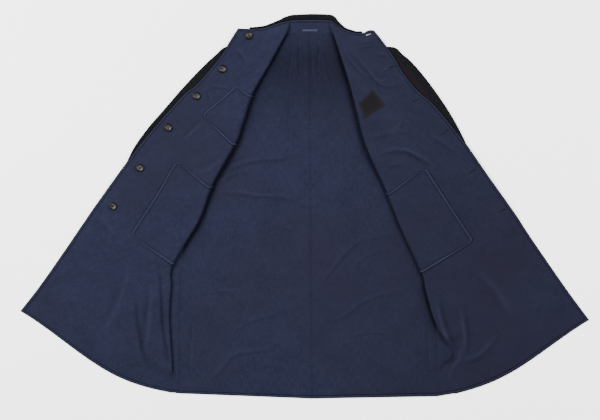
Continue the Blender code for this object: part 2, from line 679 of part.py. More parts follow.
def face_up(points):
    """1 where the grid's own normal at its first cell points up, and -1 where it points down."""
    normal = np.cross(points[1, 1] - points[0, 0], points[0, 1] - points[1, 0])
    return float(np.sign(normal[2]))


def find_on_front(side, plan):
    """Place across and row at which the top of a front lies at a point in plan, by Newton's
    method from the middle of the front."""
    a = np.full(plan.shape[:-1], 0.5)
    v = np.full(plan.shape[:-1], 4.0)
    step = 0.01
    for _ in range(25):
        here = side.front(a, v)[..., :2]
        by_a = (side.front(a + step, v)[..., :2] - here) / step
        by_v = (side.front(a, v + step)[..., :2] - here) / step
        miss = plan - here
        area = by_a[..., 0] * by_v[..., 1] - by_a[..., 1] * by_v[..., 0]
        da = (miss[..., 0] * by_v[..., 1] - miss[..., 1] * by_v[..., 0]) / area
        dv = (by_a[..., 0] * miss[..., 1] - by_a[..., 1] * miss[..., 0]) / area
        a = np.clip(a + np.clip(da, -0.3, 0.3), 0.0, 1 - step)
        v = np.clip(v + np.clip(dv, -1, 1), 0.0, HEM - step)
    return a, v


def make_label():
    share = np.linspace(0, 1, 4)
    s, t = np.meshgrid(share, share, indexing="ij")
    a, b, c, d = (np.array(corner, float) for corner in LABEL_CORNERS)
    s, t = s[..., None], t[..., None]
    plan = (a * (1 - s) + b * s) * (1 - t) + (d * (1 - s) + c * s) * t
    points = RIGHT.front(*find_on_front(RIGHT, plan))
    present = np.ones((3, 3), bool)
    return wall("label", points, present, "label_cloth", thickness=LABEL_THICKNESS,
                upside=face_up(points), off=CLOTH / 2 + PATCH_GAP + LABEL_THICKNESS / 2)


def make_loop():
    """Hanger loop, a short tape that rises a little between its sewn ends."""
    along = np.linspace(-0.5, 0.5, 7)[:, None]
    across = np.array([-0.5, 0.5])[None, :]
    x = LOOP_PLACE[0] + along * LOOP_LENGTH + 0 * across
    y = LOOP_PLACE[1] + across * LOOP_WIDTH + 0 * along
    rise = LOOP_RISE * np.cos(math.pi * along) ** 2
    z = LOW + NECK_LIFT + CLOTH / 2 + GAP + LOOP_THICKNESS / 2 + rise + 0 * across
    points = np.stack([x, y, z], axis=-1)
    return wall("hanger_loop", points, np.ones((6, 1), bool), "loop_tape", LOOP_THICKNESS)


def button_mesh():
    """Four-hole button: a turned disc with a raised rim, drilled through."""
    shell = bmesh.new()
    corners = [shell.verts.new((r / 1000, 0, z / 1000)) for r, z in BUTTON_PROFILE]
    lines = [shell.edges.new(pair) for pair in zip(corners, corners[1:])]
    bmesh.ops.spin(shell, geom=corners + lines, cent=(0, 0, 0), axis=(0, 0, 1),
                   angle=2 * math.pi, steps=20, use_merge=True)
    bmesh.ops.remove_doubles(shell, verts=shell.verts, dist=1e-6)
    bmesh.ops.recalc_face_normals(shell, faces=shell.faces)
    mesh = bpy.data.meshes.new("button")
    shell.to_mesh(mesh)
    shell.free()
    mesh.materials.append(finish("horn"))
    disc = bpy.data.objects.new("button_blank", mesh)
    bpy.context.collection.objects.link(disc)
    for k in range(4):
        angle = math.pi / 4 + k * math.pi / 2
        drill = cutter(f"drill_{k}", 6, THREAD_HOLE)
        reach = THREAD_HOLE_PLACE / 1000
        drill.location = (reach * math.cos(angle), reach * math.sin(angle), 0.001)
        cut = disc.modifiers.new("hole", "BOOLEAN")
        cut.operation = "DIFFERENCE"
        cut.object = drill
    bpy.context.view_layer.update()
    graph = bpy.context.evaluated_depsgraph_get()
    drilled = bpy.data.meshes.new_from_object(disc.evaluated_get(graph))
    bpy.data.objects.remove(disc)
    for thing in [thing for thing in bpy.data.objects if thing.name.startswith("drill_")]:
        bpy.data.objects.remove(thing)
    return drilled


def cutter(name, sides, radius):
    shell = bmesh.new()
    bmesh.ops.create_cone(shell, cap_ends=True, segments=sides, radius1=radius / 1000,
                          radius2=radius / 1000, depth=0.012)
    mesh = bpy.data.meshes.new(name)
    shell.to_mesh(mesh)
    shell.free()
    thing = bpy.data.objects.new(name, mesh)
    bpy.context.collection.objects.link(thing)
    thing.hide_render = True
    thing.display_type = "WIRE"
    return thing


def box_cutter(name, middle, length, width, depth, turn):
    shell = bmesh.new()
    bmesh.ops.create_cube(shell, size=1.0)
    bmesh.ops.scale(shell, vec=(length / 1000, width / 1000, depth / 1000), verts=shell.verts)
    mesh = bpy.data.meshes.new(name)
    shell.to_mesh(mesh)
    shell.free()
    thing = bpy.data.objects.new(name, mesh)
    bpy.context.collection.objects.link(thing)
    thing.location = tuple(value / 1000 for value in middle)
    thing.rotation_euler = (0, 0, turn)
    thing.hide_render = True
    thing.display_type = "WIRE"
    return thing


def cut_hole(thing, tool):
    cut = thing.modifiers.new(tool.name, "BOOLEAN")
    cut.operation = "DIFFERENCE"
    cut.object = tool


def seat_button(name, mesh, points, centre):
    """Lays a button on a patch of points about its centre, tilted as they are, clear of them."""
    middle = points.reshape(-1, 3).mean(axis=0)
    _, _, axes = np.linalg.svd(points.reshape(-1, 3) - middle)
    normal = axes[2] * np.sign(axes[2][2])
    clear = ((points.reshape(-1, 3) - centre) @ normal).max()
    seat = centre + normal * (clear + CLOTH / 2 + PATCH_GAP)
    button = bpy.data.objects.new(name, mesh)
    bpy.context.collection.objects.link(button)
    turn = Vector((0, 0, 1)).rotation_difference(Vector(normal)).to_matrix().to_4x4()
    button.matrix_world = Matrix.Translation(Vector(seat / 1000)) @ turn
    return button


def disc_around(place_xy):
    """Points in plan at the middle of a button and round its rim."""
    angle = np.linspace(0, 2 * math.pi, 9)[:-1]
    rim = np.stack([np.cos(angle), np.sin(angle)], axis=-1) * BUTTON_RADIUS
    return np.concatenate([[(0, 0)], rim]) + np.array(place_xy, float)


def make_buttons(stand_points):
    mesh = button_mesh()
    for number, spot in enumerate(BUTTON_PLACES, start=1):
        points = LEFT.front(*find_on_front(LEFT, disc_around(spot)))
        seat_button(f"button_{number}", mesh, points, points[0])
    grid = stand_points.reshape(-1, 3)
    spots = disc_around(COLLAR_BUTTON_PLACE)
    nearest = np.argsort(((grid[None, :, :2] - spots[:, None]) ** 2).sum(-1), axis=1)[:, :4]
    weight = 1 / (1e-6 + np.linalg.norm(grid[nearest][..., :2] - spots[:, None], axis=-1))
    heights = (grid[nearest][..., 2] * weight).sum(-1) / weight.sum(-1)
    points = np.concatenate([spots, heights[:, None]], axis=-1)
    seat_button("button_collar", mesh, points, points[0])


def cut_buttonholes(front, stand):
    """Buttonholes square to the front edge of the right front, and one in the stand, which
    gapes."""
    for number, spot in enumerate(BUTTONHOLES, start=1):
        a, v = find_on_front(RIGHT, np.array(spot, float))
        point = RIGHT.front(a, v)
        across = RIGHT.front(a + 0.02, v) - point
        turn = math.atan2(across[1], across[0])
        cut_hole(front, box_cutter(
            f"slot_{number}", point, BUTTONHOLE_LENGTH, BUTTONHOLE_WIDTH, 5.0, turn
        ))
    middle = (*COLLAR_HOLE, LOW + NECK_LIFT + 2.5)
    cut_hole(stand, box_cutter("slot_collar", middle, *COLLAR_HOLE_SIZE, 12.0, COLLAR_HOLE_TURN))


def main():
    for thing in list(bpy.data.objects):
        bpy.data.objects.remove(thing)
    grids, fronts = {}, {}
    for side in SIDES.values():
        fronts[side.name], grids[side.name] = make_front(side)
        make_back(side)
        make_sleeve(side)
    stand, stand_points = make_stand()
    make_leaf(stand_points[-1, :, 0])
    for name, (side, rows, starts) in POCKETS.items():
        make_pocket(name, SIDES[side], grids[side], rows, starts)
    make_label()
    make_loop()
    make_buttons(stand_points)
    cut_buttonholes(fronts["right"], stand)


main()
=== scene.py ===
"""The looks of a balmacaan coat laid open on a pale floor, inside up, seen from straight above.

Sizes and places are in millimetres, in the frame of the part: +X right, +Y to the collar, +Z up
from the floor. Left and right are as seen from above. Each half of the coat is a folded sheet
that is worked out as a function of a place across it and a row v down it, from 0 at the neck to
4 at the underarm and 11 at the hem. Creases, seams and stitches lie on that surface.
"""

import math

import bpy
import numpy as np
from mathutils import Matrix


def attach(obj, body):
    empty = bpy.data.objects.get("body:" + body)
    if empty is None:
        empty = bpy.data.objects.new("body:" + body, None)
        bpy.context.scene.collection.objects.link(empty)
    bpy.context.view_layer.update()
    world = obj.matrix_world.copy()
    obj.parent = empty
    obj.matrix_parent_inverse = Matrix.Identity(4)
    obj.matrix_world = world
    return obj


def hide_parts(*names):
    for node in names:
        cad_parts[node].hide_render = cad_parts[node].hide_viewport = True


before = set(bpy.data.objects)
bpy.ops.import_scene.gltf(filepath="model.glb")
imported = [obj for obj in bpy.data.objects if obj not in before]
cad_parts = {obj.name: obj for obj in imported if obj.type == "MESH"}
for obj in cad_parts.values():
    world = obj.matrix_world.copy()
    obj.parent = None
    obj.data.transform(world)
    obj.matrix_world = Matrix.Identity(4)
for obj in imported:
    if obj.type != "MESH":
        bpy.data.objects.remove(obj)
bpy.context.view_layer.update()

CLOTH = 1.8  # thickness of the double cloth
GAP = 0.3  # between pieces at their seams
LEAF = 1.8  # thickness of the collar leaf, which lies under the neck
LOW = CLOTH / 2  # height of the middle of cloth that lies on the floor
TURN = 2.2  # radius of a hidden turn
MID = LOW + 2 * TURN  # height of the middle of a sleeve's upper wall
UNDERARM = 4.0  # row at which the raglan seam ends
NOTCH = UNDERARM + 0.12  # row at which the side seam starts
CUFF = 8.0  # row at which the sleeve ends
HEM = 11.0  # row of the hem
NECK_LIFT = LEAF + GAP  # how much the leaf under it raises the neck
LIFT_FROM = 368.0  # places in y between which the neck rises
LIFT_FULL = 418.0
CENTRE_TOP = (11.5, 468.0)  # ends of the centre back seam
CENTRE_HEM = (19.5, -519.0)
EDGE_SLANT = math.sin(math.radians(82))  # the rows meet the front edge at 82 degrees
ROW_STEP = 4.0  # between the rows of points down the coat
SLEEVE_ROW_STEP = 7.0

# For each row: the front edge, the fold, the radius of its roll, the heights of the cloth at 0,
# 0.2, 0.5 and 0.8 of the way between them, and how far the row bows to the hem, with its skew.
BODY_COLUMNS = (
    "row", "edge_x", "edge_y", "fold_x", "fold_y",
    "roll", "z_edge", "z_near", "z_half", "z_far", "bow", "skew",
)
LEFT_BODY = (
    (0, -199, 449, -48, 468, 2.6, 8.4, 8.4, 8.6, 9.6, 19, 1.2),
    (1, -226, 406, -94, 384, 4.0, 8.4, 8.4, 8.8, 11.0, 6, 1.2),
    (2, -261, 363, -142, 298, 5.5, 8.4, 8.4, 9.4, 13.0, 0, 1.2),
    (3, -296, 325, -166, 228, 6.0, 8.4, 8.4, 9.8, 14.0, 0, 1.2),
    (4, -330, 298, -190, 161, 6.0, 8.4, 8.4, 9.8, 14.0, 0, 1.2),
    (5, -429, 186, -250, 52, 5.5, 8.3, 8.4, 9.6, 13.0, 0, 1.2),
    (6, -493, 101, -286, -40, 4.5, 8.0, 8.4, 9.2, 11.5, 0, 1.2),
    (7, -568, -3, -356, -159, 3.0, 4.5, 8.3, 8.8, 10.0, 0, 1.2),
    (8, -599, -48, -360, -215, 2.4, 3.0, 8.0, 8.4, 9.2, 0, 1.2),
    (9, -647, -118, -365, -302, 2.2, 0.9, 1.4, 4.0, 9.0, 0, 1.3),
    (10, -715, -215, -358, -421, 1.8, 0.9, 1.2, 3.0, 6.5, 8, 1.4),
    (11, -768, -283, -358, -503, 1.8, 0.9, 0.9, 0.9, 0.9, 31, 1.5),
)
RIGHT_BODY = (
    (0, 214, 439, 75, 469, 2.6, 8.4, 8.4, 8.6, 9.6, 21, 1.2),
    (1, 238, 407, 97, 403, 4.0, 8.4, 8.4, 8.8, 11.0, 6, 1.2),
    (2, 268, 357, 121, 327, 5.0, 8.4, 8.4, 9.2, 12.0, 0, 1.2),
    (3, 303, 314, 141, 249, 5.5, 8.4, 8.4, 9.4, 13.0, 0, 1.2),
    (4, 352, 270, 165, 160, 6.0, 8.4, 8.4, 9.4, 13.0, 0, 1.2),
    (5, 429, 176, 221, 36, 5.5, 8.3, 8.4, 9.4, 12.5, 0, 1.2),
    (6, 492, 86, 260, -59, 4.5, 7.9, 8.4, 9.2, 11.5, 0, 1.2),
    (7, 568, -21, 315, -180, 4.0, 6.4, 8.3, 8.8, 10.5, 0, 1.2),
    (8, 597, -65, 326, -229, 3.5, 2.4, 6.2, 7.2, 9.6, 0, 1.2),
    (9, 649, -141, 352, -315, 3.0, 0.9, 1.3, 3.5, 8.8, 0, 1.3),
    (10, 711, -230, 397, -402, 2.2, 0.9, 1.1, 2.4, 5.5, 4, 1.4),
    (11, 768, -307, 406, -506, 1.8, 0.9, 0.9, 0.9, 0.9, 22, 1.5),
)
SIDE_COLUMNS = ("row", "turn_x", "turn_y", "seam_x", "seam_y")
LEFT_SIDE = (
    (4, -283, 163, -272, 157),
    (5, -323, 44, -302, 44),
    (6, -358, -51, -317, -51),
    (7, -395, -161, -334, -161),
    (8, -404, -221, -340, -221),
    (9, -402, -302, -342, -302),
    (10, -373, -421, -342, -421),
    (11, -373, -503, -342, -505),
)
RIGHT_SIDE = (
    (4, 284, 155, 273, 149),
    (5, 310, 47, 290, 45),
    (6, 338, -53, 316, -53),
    (7, 365, -172, 341, -172),
    (8, 374, -232, 346, -232),
    (9, 388, -315, 354, -315),
    (10, 412, -404, 357, -408),
    (11, 421, -506, 357, -513),
)
SLEEVE_COLUMNS = ("row", "front_x", "front_y", "back_x", "back_y", "outer_x", "outer_y")
LEFT_SLEEVE = (
    (0, -64, 466, -59, 467, -72, 466),
    (0.3, -79, 445, -75, 446, -106, 433),
    (0.65, -97, 420, -94, 421, -165, 435),
    (1, -115, 395, -113, 396, -213, 430),
    (1.4, -141, 360, -139, 361, -238, 411),
    (2, -180, 308, -178, 308, -276, 376),
    (3, -232, 236, -230, 236, -332, 317),
    (4, -283, 163, -283, 163, -383, 258),
    (5, -325, 91, -325, 91, -426, 208),
    (6, -364, 22, -364, 22, -469, 144),
    (7, -403, -52, -403, -52, -510, 44),
    (8, -442, -126, -442, -126, -560, -59),
)
RIGHT_SLEEVE = (
    (0, 90, 466, 84, 467, 98, 466),
    (0.3, 103, 446, 98, 446, 132, 427),
    (0.65, 118, 423, 114, 423, 190, 428),
    (1, 133, 400, 130, 400, 240, 429),
    (1.4, 151, 370, 148, 370, 263, 411),
    (2, 179, 325, 176, 325, 290, 388),
    (3, 229, 244, 227, 244, 340, 328),
    (4, 284, 155, 284, 155, 392, 252),
    (5, 318, 91, 318, 91, 429, 184),
    (6, 352, 28, 352, 28, 460, 114),
    (7, 385, -36, 385, -36, 498, 43),
    (8, 419, -99, 419, -99, 530, -27),
)
CENTRE_Y = (468, 379, 287, 211, 138, 38, -51, -167, -226, -307, -426, -519)  # at each row
FLAT_SPREAD = 8.0  # how far the layers of a front spread where its fold has opened out
LEFT_FLATTENS = (10.0, 10.7)  # rows between which the fold opens out
RIGHT_FLATTENS = (9.3, 10.1)

# The stand's top edge in plan, and for places in x along it how far out the leaf's roll reaches.
STAND_TOP = (
    (-180, 480), (-149, 479), (-113, 482), (-86, 490), (-65, 497), (-51, 500), (-31, 503.5),
    (-5, 504), (22, 504.5), (47, 504), (68, 503), (87, 491), (109, 477.5), (122, 473),
    (142, 468), (158, 468), (168, 473), (177, 475.5), (187, 474.5),
)
LEAF_ROLL = (
    (-149, 4.7), (-113, 4.7), (-86, 5.6), (-65, 7.5), (-51, 11.5), (-31, 13.5), (-5, 14.4),
    (22, 14.8), (47, 14.8), (68, 14.5), (87, 9.0), (109, 5.0), (122, 4.5), (142, 4.7), (158, 4.7),
)
STAND_FOLD_LEFT = (-42.5, -36.5)  # x between which the top edge takes up the pleat below it
STAND_FOLD_RIGHT = (62.0, 67.0)
PLEAT_STRETCH = (1.0, 1.17, 2.0, 2.34)  # along the neck seam, and how fast the pleat opens there
PLEAT_HASTE = (1.0, 2.0, 2.0, 1.0)
STAND_FALLS = 0.25  # share of its height from which the stand comes down
LEAF_ENDS = (-149.0, 155.0)
LEAF_FREE_EDGE = ((-152, 432), (-60, 450), (14, 460), (90, 447), (162, 423))
LEAF_RADIUS = 1.5  # of the leaf's roll
LEAF_START = 1.5  # from the stand's top edge to the leaf

BUTTON_RADIUS = 11.0
BUTTON_PROFILE = (
    (0, 0.2), (8.2, 0.2), (10.2, 0.8), (11, 1.6), (11, 2.4), (10.5, 3.1), (9.6, 3.4), (8.6, 3.3),
    (7.8, 2.8), (7.0, 2.45), (3.5, 2.3), (0, 2.3),
)
THREAD_HOLE = 0.95  # radius of each of the four
THREAD_HOLE_PLACE = 2.3  # from the middle of the button
BUTTON_PLACES = ((-222, 370), (-292, 297), (-368, 212), (-444, 103.5), (-517, 0.5))
COLLAR_BUTTON_PLACE = (-151, 459)
BUTTONHOLE_LENGTH = 23.0
BUTTONHOLE_WIDTH = 0.35
BUTTONHOLES = ((237.5, 376), (300.5, 285.5), (376, 199), (451.5, 95), (530, -13))
COLLAR_HOLE = (171.5, 463.0)
COLLAR_HOLE_SIZE = (13.5, 1.4)
COLLAR_HOLE_TURN = math.radians(18)

PATCH = 1.4  # thickness of a pocket
PATCH_GAP = 0.5  # between a button and the cloth
POCKET_CORNER = 14.0
POCKETS = {
    "pocket_chest_left": ("left", (2.0, 4.0), (0.636, 0.473, 0.39)),
    "pocket_hip_left": ("left", (5.0, 7.0), (0.474, 0.47, 0.471)),
    "pocket_hip_right": ("right", (5.0, 7.0), (0.51, 0.48, 0.452)),
}
POCKET_WRAP = 0.6  # how far round the fold's roll a pocket runs
LABEL_CORNERS = ((145, 276), (183, 313), (216, 272), (163, 238))
LABEL_THICKNESS = 0.9
LOOP_LENGTH = 40.0
LOOP_WIDTH = 5.0
LOOP_THICKNESS = 1.2
LOOP_RISE = 1.5
LOOP_PLACE = (14.0, 474.0)

STITCH_INSET = 7.0  # from a finished edge to its topstitching
STITCH_PITCH = 3.2
STITCH_LENGTH = 2.3
STITCH_WIDTH = 0.7
POCKET_STITCH_INSET = 7.5
STAND_STITCH_INSET = 5.0
WELT_INSET = 3.5  # from a finished edge to the top of its welt
WELT_WIDTH = 2.2
GROOVE_WIDTH = 1.4
EDGE_BEAD = (1.0, 0.45, 0.55)  # half axes of a stitch round a buttonhole
EDGE_PITCH = 0.9
EDGE_OFF = 0.6  # from a buttonhole to the middle of the stitches round it
LIP_DEPTH = 0.4  # of a closed buttonhole's lips below them

# Creases of the cloth: which panel, the height (below zero for a trough), the width, how much of
# a trough runs beside a ridge, and the line that each one follows.
CREASES = (
    ("back", 0.8, 4, 0.9, ((-12, 455), (-13, 416), (-11, 375), (-14, 330))),
    ("back", 0.8, 4, 0.9, ((39, 455), (41, 415), (38, 379), (42, 330))),
    ("back", 0.6, 4, 0.9, ((-38, 290), (-40, 215), (-37, 150))),
    ("back", 0.6, 4, 0.9, ((-27, 452), (-36, 380), (-48, 310))),
    ("back", 0.5, 4, 0.9, ((24, 440), (22, 380), (26, 320), (22, 260))),
    ("back", 0.5, 4, 0.9, ((55, 440), (66, 370), (84, 300))),
    ("back", 1.1, 6, 0.8, ((-234, 82), (-180, 112), (-132, 125), (-60, 132), (-24, 146))),
    ("back", 0.8, 5, 0.8, ((-240, 62), (-190, 88), (-150, 96))),
    ("back", 0.6, 5, 0.8, ((-236, 99), (-188, 132), (-120, 150))),
    ("back", 1.2, 6, 0.8, ((-240, 38), (-180, 38), (-130, 30), (-70, 28), (-24, 22))),
    ("back", 0.7, 5, 0.7, ((-67, -53), (-40, -60), (-18, -59))),
    ("back", 0.8, 6, 0.8, ((30, -215), (66, -178), (95, -140), (149, -91), (214, -80))),
    ("back", 0.5, 5, 0.8, ((120, -170), (170, -130), (250, -110))),
    ("back", 0.8, 6, 0.8, ((74, -307), (110, -290), (160, -255), (257, -221))),
    ("back", 0.5, 5, 0.8, ((100, -355), (180, -338), (240, -350))),
    ("back", 1.0, 6, 0.8, ((-261, -469), (-226, -440), (-196, -404), (-140, -390), (-78, -383))),
    ("back", 0.7, 6, 0.8, ((-207, -350), (-150, -310), (-67, -286))),
    ("back", 0.5, 5, 0.8, ((-160, -440), (-90, -428), (-40, -434))),
    ("back", 0.6, 5, 0.8, ((-310, -240), (-230, -228), (-150, -232))),
    ("back", 0.9, 5, 0.8, ((340, -300), (336, -380), (342, -470))),
    ("back", 0.8, 5, 0.8, ((-300, -300), (-304, -380), (-310, -460))),
    ("right", 1.0, 6, 0.9, ((122, 419), (150, 392), (196, 338), (224, 326), (263, 330))),
    ("right", 0.9, 5, 0.9, ((112, 410), (140, 375), (185, 330))),
    ("right", 0.8, 5, 0.9, ((232, 352), (205, 340), (186, 350))),
    ("right", 1.3, 6, 0.8, ((182, 187), (225, 198), (249, 211), (268, 241))),
    ("right", 1.8, 7, 0.9, ((200, 145), (241, 152), (280, 149), (324, 125), (344, 114))),
    ("right", 1.0, 5, 0.8, ((217, 109), (265, 117))),
    ("right", 0.9, 5, 0.8, ((149, 430), (184, 435))),
    ("right", 0.9, 5, 0.8, ((192, 412), (225, 406))),
    ("right", 0.9, 5, 0.8, ((209, 362), (233, 379))),
    ("right", 1.0, 7, 0.8, ((335, 200), (422, 138))),
    ("right", 1.6, 8, 0.8, ((398, -385), (372, -325), (354, -250))),
    ("right", -2.2, 5, 0.0, ((396, -378), (400, -400), (391, -416), (372, -429), (359, -462))),
    ("right", 1.5, 8, 0.5, ((418, -380), (416, -412), (398, -434), (384, -470))),
    ("right", 1.5, 9, 0.8, ((430, -400), (432, -350), (420, -270))),
    ("right", 1.2, 9, 0.7, ((420, -420), (470, -400), (520, -350))),
    ("right", 1.0, 12, 0.5, ((470, -180), (520, -230), (560, -300))),
    ("left", 1.2, 6, 0.8, ((-188, 434), (-170, 412), (-153, 387))),
    ("left", 1.0, 5, 0.8, ((-260, 311), (-248, 284))),
    ("left", 1.1, 5, 0.8, ((-253, 327), (-208, 319))),
    ("left", 1.2, 7, 0.7, ((-276, 225), (-327, 176))),
    ("left", 0.8, 9, 0.6, ((-553, -26), (-510, -80))),
    ("left", -2.0, 6, 0.0, ((-391, -172), (-386, -260), (-380, -342), (-364, -440))),
    ("left", -1.6, 7, 0.0, ((-455, -240), (-450, -313), (-437, -388), (-416, -450))),
    ("left", 1.2, 9, 0.7, ((-410, -200), (-418, -300), (-430, -400))),
    ("left", 1.0, 12, 0.5, ((-470, -160), (-500, -260), (-540, -340))),
    ("left", 1.0, 9, 0.6, ((-215, 130), (-262, 100), (-300, 92))),
)
CREASE_DEPTH = 1.15  # how much deeper the creases are than in their table
CREASE_SPREAD = 0.72  # how wide the creases are, of the width in their table
RIDGE_PAINTED_HIGHLIGHT = 0.07  # painted highlight: how much paler a crease's ridge is painted for each millimetre of its height
TROUGH_PAINTED_SHADE = 0.20  # painted shade: how much darker a crease's trough is painted for each millimetre of its depth
# How much darker the back is painted, and over what distance: painted shade beside the fronts'
# folds and in the hollow under their lower half, and darker lines at its two seams. The painted
# shade at the neck fades over a length of its own.
FOLD_SHADES = ((0.42, 9.0), (0.12, 26.0))
HOLLOW_SHADE = (0.16, 17.0)
CENTRE_SHADE = (0.16, 2.6)
SIDE_SHADE = (0.12, 3.4)
NECK_SHADE = 0.40

# The stage, in metres and watts.
FLOOR_SIZE = 12.0
FLOOR_DROP = 0.0003
FLOOR_PAINT = (0.93, 0.93, 0.93, 1.0)
FLOOR_GLOW = 1.2
WHITE = (1.0, 1.0, 1.0, 1.0)
ROOM_LIGHT = 0.5
LAMP_SIZE = 2.4
LAMPS = (("key", (-2.6, 1.4, 2.8), 400.0), ("fill", (2.6, 0.9, 2.8), 210.0))
CAMERA_PLACE = (-0.0128, -0.0101, 4.0)
VIEW_WIDTH = 1.62


def curve(knots, values, at, monotone=False):
    """Cubic through values at the knots. Its slope at a knot is the mean of the slopes of the
    chords beside it, or their harmonic mean where it may not overshoot."""
    at = np.asarray(at, float)
    knots = np.asarray(knots, float)
    values = np.asarray(values, float)
    if values.ndim == 1:
        values = np.broadcast_to(values, at.shape + values.shape)
    step = np.diff(knots)
    chord = np.diff(values, axis=-1) / step
    before, after = chord[..., :-1], chord[..., 1:]
    slope = np.empty(values.shape)
    slope[..., 0] = chord[..., 0]
    slope[..., -1] = chord[..., -1]
    if monotone:
        same_way = before * after > 0
        total = np.where(same_way, before + after, 1.0)
        slope[..., 1:-1] = np.where(same_way, 2 * before * after / total, 0.0)
    else:
        slope[..., 1:-1] = (before + after) / 2
    i = np.clip(np.searchsorted(knots, at, side="right") - 1, 0, len(knots) - 2)
    t = (at - knots[i]) / step[i]

    def pick(numbers, offset):
        return np.take_along_axis(numbers, (i + offset)[..., None], axis=-1)[..., 0]

    return (
        pick(values, 0) * (1 + 2 * t) * (1 - t) ** 2
        + pick(slope, 0) * step[i] * t * (1 - t) ** 2
        + pick(values, 1) * t**2 * (3 - 2 * t)
        + pick(slope, 1) * step[i] * t**2 * (t - 1)
    )


def column(table, names, name):
    return np.array([row[names.index(name)] for row in table], float)


def centre_y(v):
    """Place in y of row v at the centre back."""
    return curve(np.arange(len(CENTRE_Y)), CENTRE_Y, v)


def above_hem(v):
    return centre_y(v) - CENTRE_Y[-1]


def spread(first, second):
    """Two numbers or arrays as arrays of one shape."""
    return np.broadcast_arrays(np.asarray(first, float), np.asarray(second, float))


def nearest_line(points, *lines):
    """Distance from each point of a grid to the nearest of some lines of the same grid."""
    return np.min([np.linalg.norm(points - line, axis=-1) for line in lines], axis=0)


def unit(vectors):
    return vectors / np.maximum(np.linalg.norm(vectors, axis=-1, keepdims=True), 1e-9)


def ease(t):
    t = np.clip(t, 0.0, 1.0)
    return t * t * (3 - 2 * t)


def bell(distance, width):
    return np.exp(-((distance / width) ** 2))


def finished_edge(distance, welt, groove):
    """Height near a finished edge, from how high its welt is and how deep the groove of its
    topstitching."""
    return welt * bell(distance - WELT_INSET, WELT_WIDTH) - groove * bell(
        distance - STITCH_INSET, GROOVE_WIDTH
    )


def lift(y):
    """Height by which the neck is raised where it lies on the collar leaf."""
    return NECK_LIFT * ease((y - LIFT_FROM) / (LIFT_FULL - LIFT_FROM))


def solid_point(plan, z):
    return np.concatenate([plan, (z + lift(plan[..., 1]))[..., None]], axis=-1)


def smooth_line(knots, count=40):
    """Points evenly spread in parameter along the cubic through the knots."""
    knots = np.array(knots, float)
    at = np.linspace(0, len(knots) - 1, count)
    return np.stack([curve(np.arange(len(knots)), knots[:, k], at) for k in (0, 1)], axis=-1)


def along_line(line, plan):
    """Signed distance in plan from each point to a line, and the share of the line, 0 to 1, at
    which the nearest point lies. The sign is the side of the line."""
    best = np.full(plan.shape[:-1], 1e9)
    share = np.zeros(plan.shape[:-1])
    for k in range(len(line) - 1):
        step = line[k + 1] - line[k]
        t = np.clip(((plan - line[k]) @ step) / (step @ step), 0, 1)
        off = plan - line[k] - t[..., None] * step
        side = np.sign(step[0] * off[..., 1] - step[1] * off[..., 0])
        length = np.linalg.norm(off, axis=-1)
        nearer = length < np.abs(best)
        best = np.where(nearer, length * np.where(side == 0, 1, side), best)
        share = np.where(nearer, (k + t) / (len(line) - 1), share)
    return best, share


def creases(panel, plan):
    """Height that the creases of a panel add: each is a bell across its line, with a shallower
    trough beside it, and fades out at both ends of the line."""
    total = np.zeros(plan.shape[:-1])
    for name, height, width, beside, knots in CREASES:
        if name != panel:
            continue
        line = smooth_line(knots)
        width = width * CREASE_SPREAD
        low, high = line.min(axis=0) - 5 * width, line.max(axis=0) + 5 * width
        near = ((plan > low) & (plan < high)).all(axis=-1)
        off, share = along_line(line, plan[near])
        ridge = bell(off, width)
        trough = bell(off + 1.5 * width, 1.2 * width)
        fade = np.sin(math.pi * share) ** 0.7
        total[near] += CREASE_DEPTH * height * (ridge - beside * trough) * fade
    return total


# Painted light on the creases: a painted highlight on their ridges and painted shade in their
# troughs.
def crease_tone(panel, plan):
    height = creases(panel, plan)
    return np.where(height > 0, RIDGE_PAINTED_HIGHLIGHT, TROUGH_PAINTED_SHADE) * height


def unevenness(plan, seed, size, height):
    """Gentle swells of the cloth: the sum of nine sine waves of different directions, lengths
    near size and phases."""
    total = np.zeros(plan.shape[:-1])
    for k in range(9):
        angle = 2.4 * k + seed
        length = size * (0.6 + 0.13 * k)
        along = plan[..., 0] * math.cos(angle) + plan[..., 1] * math.sin(angle)
        total = total + np.sin(2 * math.pi * along / length + 1.7 * k * seed)
    return total * height / 3


